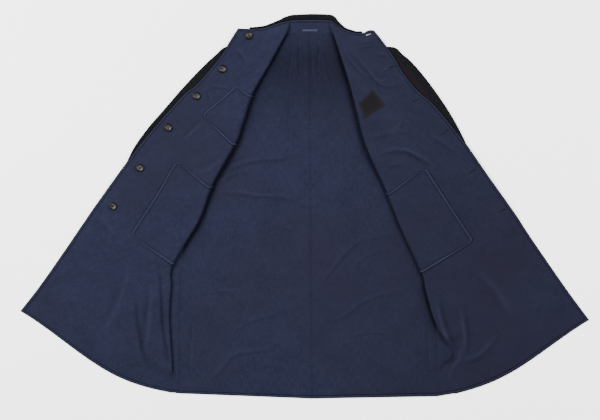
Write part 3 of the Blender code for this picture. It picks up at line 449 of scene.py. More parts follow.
class Side:
    """One half of the coat, folded, as functions of a place across it and a row v down it."""

    def __init__(self, name, out, body, side, sleeve, flattens):
        self.name = name
        self.out = out
        self.flattens = flattens
        self.columns = {}
        tables = ((body, BODY_COLUMNS), (side, SIDE_COLUMNS), (sleeve, SLEEVE_COLUMNS))
        for table, names in tables:
            rows = column(table, names, "row")
            for label in names[1:]:
                self.columns[label] = rows, column(table, names, label)

    def amount(self, name, v):
        return curve(*self.columns[name], v, monotone=True)

    def at(self, name, v):
        """Point in plan of a line of the coat, such as its fold, at row v."""
        return np.stack([curve(*self.columns[f"{name}_{axis}"], v) for axis in "xy"], axis=-1)

    def flap_width(self, v):
        return np.linalg.norm(self.at("fold", v) - self.at("edge", v), axis=-1)

    def outward(self, v):
        """Level direction square to the fold, away from the centre back."""
        step = 0.02
        along = self.at("fold", v + step) - self.at("fold", v - step)
        across = np.stack([along[..., 1], -along[..., 0]], axis=-1)
        return unit(across) * np.sign(across[..., :1]) * self.out

    def front(self, a, v):
        """Middle of the front's cloth. a is 0 at the front edge, 1 to 2 round the fold's roll,
        2 to 3 along the hidden layer, 3 to 4 round the hidden turn and 5 at the side seam;
        above the underarm it ends at 3, on the raglan seam."""
        a, v = spread(a, v)
        edge = self.at("edge", v)
        fold = self.at("fold", v)
        roll = self.amount("roll", v)
        fold_centre = fold + self.outward(v) * (roll + CLOTH / 2)[..., None]
        raglan = self.at("front", np.minimum(v, UNDERARM))
        below = np.maximum(v, UNDERARM)
        turn = self.at("turn", below)
        seam = self.at("seam", below)
        skirt = (v > UNDERARM)[..., None]
        hidden = np.where(skirt, turn - fold_centre, raglan - fold_centre)
        width = np.linalg.norm(hidden, axis=-1) - np.where(
            skirt[..., 0], TURN + CLOTH / 2 + GAP, 0.0
        )
        out = unit(hidden)
        flat = ease((v - self.flattens[0]) / (self.flattens[1] - self.flattens[0]))
        bend = math.pi * (1 - flat)
        width = width * (1 - flat) ** 4
        fall = (roll + TURN) * (1 - np.cos(bend)) + width * np.sin(bend)
        top_z = LOW + fall

        share = np.clip(a, 0, 1)
        heights = np.stack(
            [self.amount(name, v) for name in ("z_edge", "z_near", "z_half", "z_far")] + [top_z],
            axis=-1,
        )
        bow = self.amount("bow", v) * np.sin(math.pi * share ** self.amount("skew", v))
        chord = unit(fold_centre - edge)
        square = np.stack([chord[..., 1], -chord[..., 0]], axis=-1)
        square = square * -np.sign(square[..., 1:2])
        plan = edge + (fold_centre - edge) * share[..., None] + square * bow[..., None]
        z = curve((0, 0.2, 0.5, 0.8, 1), heights, share, monotone=True)

        round_roll = np.clip(a - 1, 0, 1) * bend
        reach = -roll * np.sin(round_roll)
        drop = roll * (1 - np.cos(round_roll))
        along = np.clip(a - 2, 0, 1) * width
        reach = reach - along * np.cos(bend)
        drop = drop + along * np.sin(bend)
        round_turn = bend * (1 - np.clip(a - 3, 0, 1))
        reach = reach - FLAT_SPREAD * flat * np.clip((a - 1) / 3, 0, 1)
        turning = (a > 3) & skirt[..., 0]
        reach = reach - np.where(turning, TURN * (np.sin(bend) - np.sin(round_turn)), 0.0)
        drop = drop - np.where(turning, TURN * (np.cos(bend) - np.cos(round_turn)), 0.0)
        plan = plan + out * reach[..., None]
        z = z - drop
        last = np.clip(a - 4, 0, 1)[..., None] * skirt
        plan = plan + (seam - plan) * last
        return solid_point(plan, z)

    def dressed_front(self, a, v):
        """The front with its creases, which fade out round the fold, its slight unevenness and
        the groove of the topstitching beside its edge and hem."""
        a, v = spread(a, v)
        points = self.front(a, v).copy()
        plan = points[..., :2]
        seen = self.seen(a, v)
        edge = self.edge_distance(a, v)
        height = creases(self.name, plan) * ease(edge / 12)
        height = height + unevenness(plan, seed=1.3, size=150, height=0.35) * ease(edge / 20)
        height = height + unevenness(plan, seed=4.1, size=60, height=0.12) * ease(edge / 10)
        height = height + finished_edge(edge, 0.35, 0.45)
        points[..., 2] += np.maximum(height * seen, LOW - points[..., 2])
        return points

    def seen(self, a, v):
        """1 on the part of a front that is seen, down to 0 round its fold; at the hem, where
        the fold has opened out, it is 1 all across."""
        return np.maximum(1 - ease((a - 0.96) / 0.3), ease((v - self.flattens[1]) / 0.25))

    def front_tone(self, a, v):
        """Painted light on the front: above zero the painted highlight on its creases' ridges,
        below zero the painted shade in their troughs.
        """
        a, v = spread(a, v)
        opening = ease((v - self.flattens[0]) / (self.flattens[1] - self.flattens[0]))
        seen = np.maximum(self.seen(a, v), opening)
        return crease_tone(self.name, self.front(a, v)[..., :2]) * seen

    def back_tone(self, b, v):
        """The same for the back, with painted shade at the raised neck, in the strips beside the
        fronts' folds and in the hollow under their lower half, and darker lines along its two
        seams."""
        b, v = spread(b, v)
        plan = self.back(b, v)[..., :2]
        fold = self.at("fold", v)
        inside = np.maximum((fold[..., 0] - plan[..., 0]) * self.out, 0)
        # Painted shade beside the fronts' folds and in the hollow below them; further down, painted
        # shade at the neck.
        strip = sum(dark * bell(inside, width) for dark, width in FOLD_SHADES)
        dark, width = HOLLOW_SHADE
        strip = strip + dark * ease((v - 7.4) / 0.8) * ease((10.6 - v) / 1.8) * bell(inside, width)
        down = CENTRE_TOP[1] - plan[..., 1]
        neck = NECK_SHADE * ease((298 - down) / 240) * (0.25 + 0.75 * ease(down / 70))
        seams = sum(
            dark * bell(self.from_seam(plan, seam, v), width)
            for seam, (dark, width) in enumerate((CENTRE_SHADE, SIDE_SHADE))
        )
        return crease_tone("back", plan) - strip * (1 - 0.6 * neck) - neck - seams

    def from_seam(self, plan, seam, v):
        """Distance along the row from the back's centre seam, 0, or from its other one, 1."""
        return np.linalg.norm(plan - self.back(seam, v)[..., :2], axis=-1)

    def edge_distance(self, a, v):
        """Distance in the cloth from the front edge or the hem, whichever is nearer."""
        return np.minimum(a * self.flap_width(v) * EDGE_SLANT, above_hem(v))

    def back(self, b, v):
        """Middle of the back's cloth: b is 0 at the centre seam and 1 at the raglan seam or,
        below the underarm, at the side seam."""
        b, v = spread(b, v)
        y = centre_y(v)
        down = (CENTRE_TOP[1] - y) / (CENTRE_TOP[1] - CENTRE_HEM[1])
        centre = np.stack([CENTRE_TOP[0] + (CENTRE_HEM[0] - CENTRE_TOP[0]) * down, y], axis=-1)
        raglan = self.at("back", np.minimum(v, UNDERARM))
        seam = self.at("seam", np.maximum(v, UNDERARM))
        edge = np.where((v > UNDERARM)[..., None], seam, raglan)
        plan = centre + (edge - centre) * b[..., None]
        return solid_point(plan, np.full(b.shape, LOW))

    def dressed_back(self, b, v):
        """The back with its creases. It rises a little from the floor where they are, so that
        their troughs stay above it, and sinks to the floor under the fronts."""
        b, v = spread(b, v)
        points = self.back(b, v).copy()
        plan = points[..., :2]
        fold = self.at("fold", v)
        inside = ease(((fold[..., 0] - plan[..., 0]) * self.out + 2) / 18)
        neck = ease((CENTRE_TOP[1] - plan[..., 1]) / 30)
        hem = np.abs(above_hem(v))
        centre = self.from_seam(plan, 0, v)
        height = 1.3 + creases("back", plan)
        height = height + unevenness(plan, seed=2.2, size=170, height=0.4)
        height = height + unevenness(plan, seed=0.7, size=55, height=0.13)
        height = height * ease(hem / 25) * ease(self.from_seam(plan, 1, v) / 35)
        height = height - 0.25 * bell(centre, 2.4)
        height = height + 0.2 * bell(centre - 6, 3)
        height = height + finished_edge(hem, 0.3, 0.4)
        points[..., 2] += np.maximum(height, 0) * inside * neck
        return points

    def sleeve(self, s, v):
        """Middle of the sleeve's cloth. s is 0 to 1 round the inner edge from the underarm seam,
        1 to 2 along the upper wall, 2 to 3 round the outer edge, 3 to 4 along the lower wall and
        4 to 5 back to the underarm seam. Above the underarm it runs only from 1 to 4."""
        s, v = spread(s, v)
        front = self.at("front", v)
        back = self.at("back", v)
        outer = self.at("outer", v)
        side_reach = TURN + CLOTH / 2 + GAP
        below = (v > UNDERARM)[..., None]
        out = unit(outer - front)
        outer_centre = outer - out * side_reach
        front = np.where(below, front + out * side_reach, front)
        back = np.where(below, back + out * side_reach, back)
        upper = np.clip(s - 1, 0, 1)[..., None]
        lower = np.clip(s - 3, 0, 1)[..., None]
        plan = front + (outer_centre - front) * upper + (back - outer_centre) * lower
        angle = math.pi * np.clip(s - 2, 0, 1)
        plan = plan + out * (TURN * np.sin(angle))[..., None]
        z = MID - TURN * (1 - np.cos(angle))
        start = math.pi / 2 * (1 - np.clip(s, 0, 1))
        end = math.pi / 2 * np.clip(s - 4, 0, 1)
        plan = plan - out * (TURN * (np.sin(start) + np.sin(end)))[..., None]
        z = z - TURN * (1 - np.cos(start)) + TURN * (1 - np.cos(end))
        return solid_point(plan, z)


LEFT = Side("left", -1, LEFT_BODY, LEFT_SIDE, LEFT_SLEEVE, LEFT_FLATTENS)
RIGHT = Side("right", 1, RIGHT_BODY, RIGHT_SIDE, RIGHT_SLEEVE, RIGHT_FLATTENS)
SIDES = {"left": LEFT, "right": RIGHT}


# Shaders

class Value:
    """A number in a shader, so that what is done to it reads like a sum."""

    def __init__(self, shader, socket):
        self.shader = shader
        self.socket = socket

    def math(self, operation, first, second=None):
        node = self.shader.node("ShaderNodeMath", {"operation": operation}, [first, second])
        return Value(self.shader, node.outputs[0])

    def __add__(self, other):
        return self.math("ADD", self, other)

    def __radd__(self, other):
        return self.math("ADD", other, self)

    def __sub__(self, other):
        return self.math("SUBTRACT", self, other)

    def __rsub__(self, other):
        return self.math("SUBTRACT", other, self)

    def __mul__(self, other):
        return self.math("MULTIPLY", self, other)

    def __rmul__(self, other):
        return self.math("MULTIPLY", other, self)

    def __truediv__(self, other):
        return self.math("DIVIDE", self, other)

    def __rtruediv__(self, other):
        return self.math("DIVIDE", other, self)

    def between(self, low, high):
        """0 at low and 1 at high, smooth between them."""
        node = self.shader.node(
            "ShaderNodeMapRange", {"interpolation_type": "SMOOTHSTEP"}, [self, low, high, 0.0, 1.0]
        )
        return Value(self.shader, node.outputs[0])


class Shader:
    """A Principled material whose nodes are all made by one method."""

    def __init__(self, name, **settings):
        self.material = bpy.data.materials.new(name)
        self.material.use_nodes = True
        self.tree = self.material.node_tree
        self.surface = self.tree.nodes["Principled BSDF"]
        for key, value in settings.items():
            self.surface.inputs[key.replace("_", " ")].default_value = value

    def link(self, value, socket):
        if isinstance(value, Value):
            self.tree.links.new(value.socket, socket)
        else:
            socket.default_value = value

    def node(self, kind, settings, inputs):
        """Node with its settings, and its inputs by number or by name."""
        node = self.tree.nodes.new(kind)
        for key, value in settings.items():
            setattr(node, key, value)
        pairs = inputs.items() if isinstance(inputs, dict) else enumerate(inputs)
        for key, value in pairs:
            if value is not None:
                self.link(value, node.inputs[key])
        return node

    def place(self):
        node = self.node("ShaderNodeTexCoord", {}, [])
        return Value(self, node.outputs["Object"])

    def attribute(self, name):
        node = self.node("ShaderNodeAttribute", {"attribute_name": name}, [])
        return Value(self, node.outputs["Fac"])

    def cloth(self):
        node = self.node("ShaderNodeUVMap", {"uv_map": "cloth"}, [])
        return Value(self, node.outputs["UV"])

    def across(self, vector):
        """The part of a vector that runs to the right."""
        node = self.node("ShaderNodeSeparateXYZ", {}, [vector])
        return Value(self, node.outputs[0])

    def noise(self, vector, scale, detail=3.0):
        """Noise with about scale blots to the metre, or a number of them for each axis."""
        if isinstance(scale, tuple):
            node = self.node("ShaderNodeVectorMath", {"operation": "MULTIPLY"}, [vector, scale])
            vector, scale = Value(self, node.outputs[0]), 1.0
        node = self.node(
            "ShaderNodeTexNoise", {},
            {"Vector": vector, "Scale": scale, "Detail": detail, "Roughness": 0.55},
        )
        return Value(self, node.outputs["Fac"])

    def mixed(self, share, first, second):
        node = self.node("ShaderNodeMix", {"data_type": "RGBA"}, {0: share, 6: first, 7: second})
        return Value(self, node.outputs[2])

    def paint(self, name, value):
        self.link(value, self.surface.inputs[name])

    def bump(self, height, strength, distance):
        node = self.node(
            "ShaderNodeBump", {}, {"Strength": strength, "Distance": distance, "Height": height}
        )
        self.paint("Normal", Value(self, node.outputs["Normal"]))


def colour(red, green, blue):
    """Linear colour of a paint given as it looks in daylight, from 0 to 255."""
    return tuple((value / 255) ** 2.2 for value in (red, green, blue)) + (1.0,)


NAVY_PAINTED_HIGHLIGHT = (56, 60, 82)
NAVY_PALE = (38, 40, 56)
NAVY_DEEP = (24, 25, 37)
NAVY_WARM = (33, 31, 42)
NAVY_RIGHT_SHADE = (26, 25, 33)
NAVY_PAINTED_SHADE = (6, 6, 9)
WOOL = (17, 18, 21)
WOOL_BROWN = (37, 31, 30)
WOOL_GREEN = (22, 28, 28)


def cotton_material():
    """Navy twill: mottled slightly, with slubs both ways, painted paler by the number called tone
    where it is above zero and darker where it is below, as painted highlight and shade, painted
    darker towards its right-hand side, with a faint painted highlight on the welt of a finished
    edge, greenish within 2 mm of a finished edge, where the wool of the outside shows, and with
    painted shade in the groove of the topstitching."""
    shader = Shader("navy_cotton_cloth", Roughness=0.95, Specular_IOR_Level=0.06)
    cloth = shader.cloth()
    slubs = shader.noise(cloth, (400.0, 52.0, 0.0))
    weft = shader.noise(cloth, (60.0, 400.0, 0.0), 2.0)
    blotches = shader.noise(cloth, 14.0)
    grain = shader.noise(cloth, 420.0, 2.0)
    mottle = (slubs - 0.5) + (weft - 0.5) * 0.8 + (blotches - 0.5) * 0.5 + (grain - 0.5) + 0.5
    navy = shader.mixed(mottle, colour(*NAVY_DEEP), colour(*NAVY_PALE))
    faded = shader.noise(shader.place(), 2.6, 2.0).between(0.42, 0.68)
    navy = shader.mixed(faded * 0.4, navy, colour(*NAVY_WARM))
    # Painted shade towards the right-hand side, away from the key lamp.
    right = shader.across(shader.place()).between(-0.02, 0.42)
    navy = shader.mixed(right * 0.3, navy, colour(*NAVY_RIGHT_SHADE))
    # The number called tone: a painted highlight where it is above zero and painted shade where it
    # is below.
    tone = shader.attribute("tone")
    navy = shader.mixed(tone, navy, colour(*NAVY_PAINTED_HIGHLIGHT))
    navy = shader.mixed(0.0 - tone, navy, colour(*NAVY_PAINTED_SHADE))
    edge = shader.attribute("edge")
    # Faint painted highlight on the raised welt beside a finished edge.
    welt = edge.between(0.0020, 0.0032) * (1.0 - edge.between(0.0046, 0.0062))
    navy = shader.mixed(welt * 0.08, navy, colour(*NAVY_PAINTED_HIGHLIGHT))
    # Painted shade in the groove of the topstitching.
    groove = edge.between(0.0056, 0.0070) * (1.0 - edge.between(0.0078, 0.0094))
    navy = shader.mixed(groove * 0.7, navy, colour(*NAVY_PAINTED_SHADE))
    border = 1.0 - edge.between(0.0012, 0.0026)
    shader.paint("Base Color", shader.mixed(border, navy, colour(13, 18, 18)))
    weave = shader.noise(cloth, (700.0, 260.0, 0.0), 2.0)
    crinkle = shader.noise(cloth, (26.0, 13.0, 0.0))
    shader.bump(weave + slubs * 0.6 + crinkle * 5.0, 0.6, 0.0007)
    return shader.material


def wool_material():
    """Black wool mottled with brown and grey-green, browner by the number called tone."""
    shader = Shader("black_wool_cloth", Roughness=0.95, Specular_IOR_Level=0.08)
    spot = shader.place()
    brown = shader.noise(spot, 330.0).between(0.52, 0.72)
    green = shader.noise(spot, (210.0, 273.0, 210.0)).between(0.5, 0.7)
    base = shader.mixed(green * 0.6, colour(*WOOL), colour(*WOOL_GREEN))
    base = shader.mixed(shader.attribute("tone") * 0.75, base, colour(26, 20, 25))
    shader.paint("Base Color", shader.mixed(brown * 0.7, base, colour(*WOOL_BROWN)))
    shader.bump(shader.noise(spot, 900.0), 0.6, 0.0007)
    return shader.material


def plain_material(name, tint, roughness, grain_size, strength):
    """One colour, with a fine grain that makes it a little lighter and darker."""
    shader = Shader(name, Roughness=roughness, Specular_IOR_Level=0.15)
    grain = shader.noise(shader.place(), grain_size)
    darker = colour(*(value * 0.85 for value in tint))
    lighter = colour(*(min(255, value * 1.15) for value in tint))
    shader.paint("Base Color", shader.mixed(grain, darker, lighter))
    shader.bump(grain, strength, 0.0004)
    return shader.material


def horn_material():
    """Brown and grey horn, streaked, darker at the rim, polished."""
    shader = Shader("horn_polished", Roughness=0.36, Specular_IOR_Level=0.15)
    spot = shader.place()
    streaks = shader.noise(spot, (110.0, 330.0, 110.0), 4.0)
    horn = shader.mixed(streaks.between(0.35, 0.65), colour(27, 24, 23), colour(66, 60, 57))
    rim = shader.attribute("rim").between(0.54, 0.68)
    shader.paint("Base Color", shader.mixed(rim * 0.95, horn, colour(9, 8, 9)))
    return shader.material


def label_material():
    """Dark woven label, bare, with a browner woven border."""
    shader = Shader("label_weave", Roughness=0.8, Specular_IOR_Level=0.12)
    cloth = shader.cloth()
    threads = shader.noise(cloth, (900.0, 160.0, 0.0))
    ground = shader.mixed(threads, colour(9, 8, 10), colour(22, 21, 25))
    border = 1.0 - shader.attribute("edge").between(0.0050, 0.0058)
    shader.paint("Base Color", shader.mixed(border * 0.8, ground, colour(27, 22, 22)))
    shader.bump(threads, 0.4, 0.0004)
    return shader.material


COTTON = cotton_material()
WOOLLEN = wool_material()
LABEL_CLOTH = label_material()
TAPE = plain_material("loop_weave", (44, 47, 66), 0.7, 900.0, 0.4)
THREAD = plain_material("navy_thread", (24, 26, 37), 0.7, 1500.0, 0.2)
DARK_THREAD = plain_material("dark_thread", (15, 15, 19), 0.7, 1500.0, 0.2)
HORN = horn_material()


# Meshes

def grid_normals(points, present):
    """Direction square to the cloth at each point, the mean over the cells that are there."""
    across = unit(np.cross(points[1:, 1:] - points[:-1, :-1], points[:-1, 1:] - points[1:, :-1]))
    across = np.where(present[..., None], across, 0.0)
    normals = np.zeros(points.shape)
    normals[:-1, :-1] += across
    normals[1:, :-1] += across
    normals[:-1, 1:] += across
    normals[1:, 1:] += across
    return unit(normals)


def whole(points):
    """Every cell of a grid of points."""
    return np.ones((points.shape[0] - 1, points.shape[1] - 1), bool)


def add_object(name, data):
    thing = bpy.data.objects.new(name, data)
    bpy.context.scene.collection.objects.link(thing)
    return thing


def face_up(points):
    """1 where the grid's own normal at its first cell points up, and -1 where it points down."""
    normal = np.cross(points[1, 1] - points[0, 0], points[0, 1] - points[1, 0])
    return float(np.sign(normal[2]))


def new_mesh(name, vertices, faces, materials, choice=None):
    """Piece from whole arrays of vertices, in millimetres, and of four-cornered faces."""
    mesh = bpy.data.meshes.new(name)
    mesh.vertices.add(len(vertices))
    mesh.vertices.foreach_set("co", (vertices / 1000).astype(np.float32).ravel())
    sides = faces.shape[1]
    mesh.loops.add(faces.size)
    mesh.loops.foreach_set("vertex_index", faces.astype(np.int32).ravel())
    mesh.polygons.add(len(faces))
    mesh.polygons.foreach_set("loop_start", np.arange(0, faces.size, sides, dtype=np.int32))
    for material in materials:
        mesh.materials.append(material)
    if choice is not None:
        mesh.polygons.foreach_set("material_index", choice.astype(np.int32))
    mesh.update()
    mesh.shade_smooth()
    return add_object(name, mesh)


def wall(
    name, points, materials, present=None,
    thickness=CLOTH, off=0.0, upside=None, edge=None, tone=None,
):
    """Closed wall of cloth about a grid of points, where present says which cells are cloth. Its
    upper face gets the first material, its lower face and rim the last, and its rim is sharp.
    The map called cloth holds the distance across and down the cloth, in metres, the number called
    edge the distance from a finished edge, and tone the painted highlight and shade on the cotton
    and, on the sleeves, how much browner the wool is."""
    present = whole(points) if present is None else present
    upside = face_up(points) if upside is None else upside
    normals = grid_normals(points, present)
    middle = points + normals * off * upside
    sheets = np.concatenate([
        (middle + normals * thickness / 2).reshape(-1, 3),
        (middle - normals * thickness / 2).reshape(-1, 3),
    ])
    rows, columns = points.shape[:2]
    number = np.arange(rows * columns).reshape(rows, columns)
    cells = np.stack(
        [number[1:, :-1], number[1:, 1:], number[:-1, 1:], number[:-1, :-1]], axis=-1
    )[present]
    ends = np.concatenate([np.stack([cells[:, k], cells[:, (k + 1) % 4]], -1) for k in range(4)])
    total = rows * columns
    key = ends[:, 0] * total + ends[:, 1]
    twin = ends[:, 1] * total + ends[:, 0]
    rim = ends[~np.isin(twin, key)]
    rim_faces = np.stack([rim[:, 1], rim[:, 0], rim[:, 0] + total, rim[:, 1] + total], axis=-1)
    faces = np.concatenate([cells, cells[:, ::-1] + total, rim_faces])
    used, renumbered = np.unique(faces, return_inverse=True)
    faces = renumbered.reshape(faces.shape)
    last = len(materials) - 1
    first_side, second_side = (0, last) if upside > 0 else (last, 0)
    choice = np.concatenate([
        np.full(len(cells), first_side), np.full(len(cells), second_side), np.full(len(rim), last)
    ])
    thing = new_mesh(name, sheets[used], faces, materials, choice)
    across = np.zeros((rows, columns))
    down = np.zeros((rows, columns))
    across[:, 1:] = np.cumsum(np.linalg.norm(np.diff(points, axis=1), axis=-1), axis=1)
    down[1:] = np.cumsum(np.linalg.norm(np.diff(points, axis=0), axis=-1), axis=0)
    flat = np.stack([across, down], axis=-1).reshape(-1, 2) / 1000
    spread = np.concatenate([flat, flat])[used][faces.ravel()]
    uv = thing.data.uv_layers.new(name="cloth")
    uv.data.foreach_set("uv", spread.astype(np.float32).ravel())
    far = np.full(total, 1.0) if edge is None else (edge / 1000).ravel()
    shade = np.zeros(total) if tone is None else tone.ravel()
    for label, number_at in (("edge", far), ("tone", shade)):
        number_map = thing.data.attributes.new(label, "FLOAT", "POINT")
        both = np.concatenate([number_at, number_at])[used]
        number_map.data.foreach_set("value", both.astype(np.float32))
    corners = np.sort(np.searchsorted(used, np.concatenate([rim, rim + total])), axis=1)
    lines = np.empty(2 * len(thing.data.edges), np.int32)
    thing.data.edges.foreach_get("vertices", lines)
    lines = np.sort(lines.reshape(-1, 2).astype(np.int64), axis=1)
    sharp = np.isin(lines @ (len(used), 1), corners @ (len(used), 1))
    thing.data.attributes.new("sharp_edge", "BOOLEAN", "EDGE").data.foreach_set("value", sharp)
    return thing


def rows_between(first, last, step):
    """Rows from first to last, about step millimetres apart down the centre back."""
    y = centre_y(np.array([first, last]))
    count = max(2, int(abs(y[1] - y[0]) / step) + 1)
    fine = np.linspace(first, last, 400)
    depth = -centre_y(fine)
    return np.interp(np.linspace(depth[0], depth[-1], count), depth, fine)


def body_rows():
    """Rows down a front or a back, and how many of them are above the underarm."""
    yoke = rows_between(0.0, UNDERARM, ROW_STEP)
    skirt = rows_between(NOTCH, HEM, ROW_STEP)
    return np.concatenate([yoke, skirt]), len(yoke)


def front_columns():
    """Places across a front, and how many reach the raglan seam."""
    top = np.concatenate([np.linspace(0, 0.05, 7)[:-1], np.linspace(0.05, 1, 118)])
    roll = 1 + np.arange(1, 13) / 12
    middle = 2 + np.arange(1, 9) / 8
    turn = 3 + np.arange(1, 7) / 6
    lower = 4 + np.arange(1, 5) / 4
    return np.concatenate([top, roll, middle, turn, lower]), len(top) + len(roll) + len(middle)


def make_front(side):
    rows, yoke = body_rows()
    columns, raglan = front_columns()
    a, v = spread(columns[None, :], rows[:, None])
    points = side.dressed_front(a, v)
    present = whole(points)
    present[:yoke, raglan - 1:] = False
    return wall(
        f"front_{side.name}_cloth", points, (COTTON, WOOLLEN), present,
        edge=side.edge_distance(a, v), tone=side.front_tone(a, v),
    )


def make_back(side):
    b, v = spread(np.linspace(0, 1, 90)[None, :], body_rows()[0][:, None])
    return wall(
        f"back_{side.name}_cloth", side.dressed_back(b, v), (COTTON, WOOLLEN),
        edge=above_hem(v), tone=side.back_tone(b, v),
    )


def make_sleeve(side):
    yoke_rows = rows_between(0.0, UNDERARM, SLEEVE_ROW_STEP)
    yoke = len(yoke_rows)
    rows = np.concatenate([yoke_rows, rows_between(NOTCH, CUFF, SLEEVE_ROW_STEP)])
    inner = np.linspace(0.08, 1, 6)
    outer = np.linspace(4, 4.92, 6)[1:]
    columns = np.concatenate([
        inner, np.linspace(1, 2, 24)[1:], np.linspace(2, 3, 9)[1:], np.linspace(3, 4, 12)[1:], outer
    ])
    points = side.sleeve(columns[None, :], rows[:, None])
    ripples = unevenness(points[..., :2], seed=3.3, size=70, height=0.3)
    points[..., 2] += ripples * ((columns > 1.3) & (columns < 2.2))
    present = whole(points)
    present[:yoke, : len(inner) - 1] = False
    present[:yoke, -len(outer):] = False
    browner = (1 - ease((columns - 1.80) / 0.13)) * np.ones((len(rows), 1))
    return wall(
        f"sleeve_{side.name}_cloth", points, (WOOLLEN,), present, upside=1.0, tone=browner
    )


def neck_line(side):
    """Points of the neck seam from the front edge to the centre back, with the share of the way
    along the front, along the hidden pleat and along the back that each one has reached."""
    flap = np.linspace(0, 1, 70)
    hidden = np.concatenate([1 + np.arange(1, 13) / 12, 2 + np.arange(1, 6) / 5])
    sleeve = np.concatenate([
        1 + np.arange(1, 6) / 5, 2 + np.arange(1, 9) / 8, 3 + np.arange(1, 6) / 5
    ])
    back = np.linspace(1, 0, 20)[1:]
    line = np.concatenate([
        side.front(flap, 0 * flap), side.front(hidden, 0 * hidden),
        side.sleeve(sleeve, 0 * sleeve), side.back(back, 0 * back),
    ])
    folded = len(hidden) + len(sleeve)
    return line, np.concatenate([flap, 1 + np.arange(1, folded + 1) / folded, 2 + (1 - back)])


def stand_top(x):
    """Point in plan of the stand's top edge at each x."""
    return np.stack([x, curve(*np.array(STAND_TOP, float).T, x, monotone=True)], axis=-1)


def stand_top_out(x):
    """Level direction square to the stand's top edge, away from the coat."""
    along = stand_top(x + 0.5) - stand_top(x - 0.5)
    return unit(np.stack([-along[..., 1], along[..., 0]], axis=-1))


def make_stand():
    """The stand rises from the folded neck seam, and its pleat opens out to its top edge."""
    left, left_stretch = neck_line(LEFT)
    right, right_stretch = neck_line(RIGHT)
    stops = (0, 1, 2, 3)
    left_x = np.interp(left_stretch, stops, (STAND_TOP[0][0], *STAND_FOLD_LEFT, CENTRE_TOP[0]))
    right_x = np.interp(
        right_stretch, stops, (STAND_TOP[-1][0], *STAND_FOLD_RIGHT[::-1], CENTRE_TOP[0])
    )
    foot = np.concatenate([left, right[-2::-1]])
    top_x = np.concatenate([left_x, right_x[-2::-1]])
    top = stand_top(top_x)
    levels = [
        np.interp(stretch, stops, np.interp(stops, stretch, line[:, 1]))
        for line, stretch in ((left, left_stretch), (right, right_stretch))
    ]
    level = np.concatenate([levels[0], levels[1][-2::-1]])
    in_pleat = np.concatenate([left_stretch, right_stretch[-2::-1]])
    level = np.where((in_pleat > 1) & (in_pleat < 2), level, foot[:, 1])
    height = np.linspace(0, 1, 22)[:, None]
    opened = 1 - (1 - height) ** np.interp(in_pleat, PLEAT_STRETCH, PLEAT_HASTE)
    lowered = ease((height - STAND_FALLS) / (1 - STAND_FALLS))
    points = np.stack([
        foot[:, 0] + (top[:, 0] - foot[:, 0]) * opened,
        level + (top[:, 1] - level) * height + (foot[:, 1] - level) * (1 - opened),
        foot[:, 2] + (LOW + NECK_LIFT - foot[:, 2]) * lowered,
    ], axis=-1)
    calm = np.sin(math.pi * height) * (np.abs(in_pleat - 1.5) > 0.5)
    ripples = unevenness(points[..., :2], seed=5.2, size=45, height=0.35)
    points[..., 2] += np.maximum(ripples, -0.2) * calm
    edge = nearest_line(points, points[-1:], points[:, :1], points[:, -1:])
    return wall("collar_stand_cloth", points, (COTTON, WOOLLEN), edge=edge), points


def make_leaf():
    """The leaf leaves the stand's top edge, rolls under and lies on the floor below the neck."""
    x = np.linspace(*LEAF_ENDS, 150)
    out = stand_top_out(x)
    reach = curve(*np.array(LEAF_ROLL, float).T, x, monotone=True)
    edge_x, edge_y = np.array(LEAF_FREE_EDGE, float).T
    free_x = edge_x[0] + (edge_x[-1] - edge_x[0]) * ((x - x[0]) / (x[-1] - x[0]))
    free_y = curve(edge_x, edge_y, free_x)
    low = LEAF / 2
    top = low + 2 * LEAF_RADIUS
    centre = reach - LEAF_RADIUS - LEAF / 2
    seam_z = LOW + NECK_LIFT
    rows = [(np.full(x.shape, LEAF_START), seam_z)]
    for share in (0.3, 0.6, 0.8):
        rise = (top - seam_z) * share + 0.5 * math.sin(math.pi * share)
        rows.append((LEAF_START + (centre - LEAF_START) * share, seam_z + rise))
    for angle in np.linspace(0, math.pi, 11):
        drop = LEAF_RADIUS * (1 - math.cos(angle))
        rows.append((centre + LEAF_RADIUS * math.sin(angle), top - drop))
    plan = stand_top(x)
    points = [
        np.concatenate([plan + out * far[:, None], np.full((len(x), 1), z)], axis=-1)
        for far, z in rows
    ]
    free = np.stack([free_x, free_y, np.full(x.shape, low)], axis=-1)
    points = np.stack(points + [
        points[-1] + (free - points[-1]) * share for share in np.linspace(0, 1, 12)[1:]
    ])
    return wall("collar_leaf_cloth", points, (WOOLLEN,), thickness=LEAF, upside=1.0)


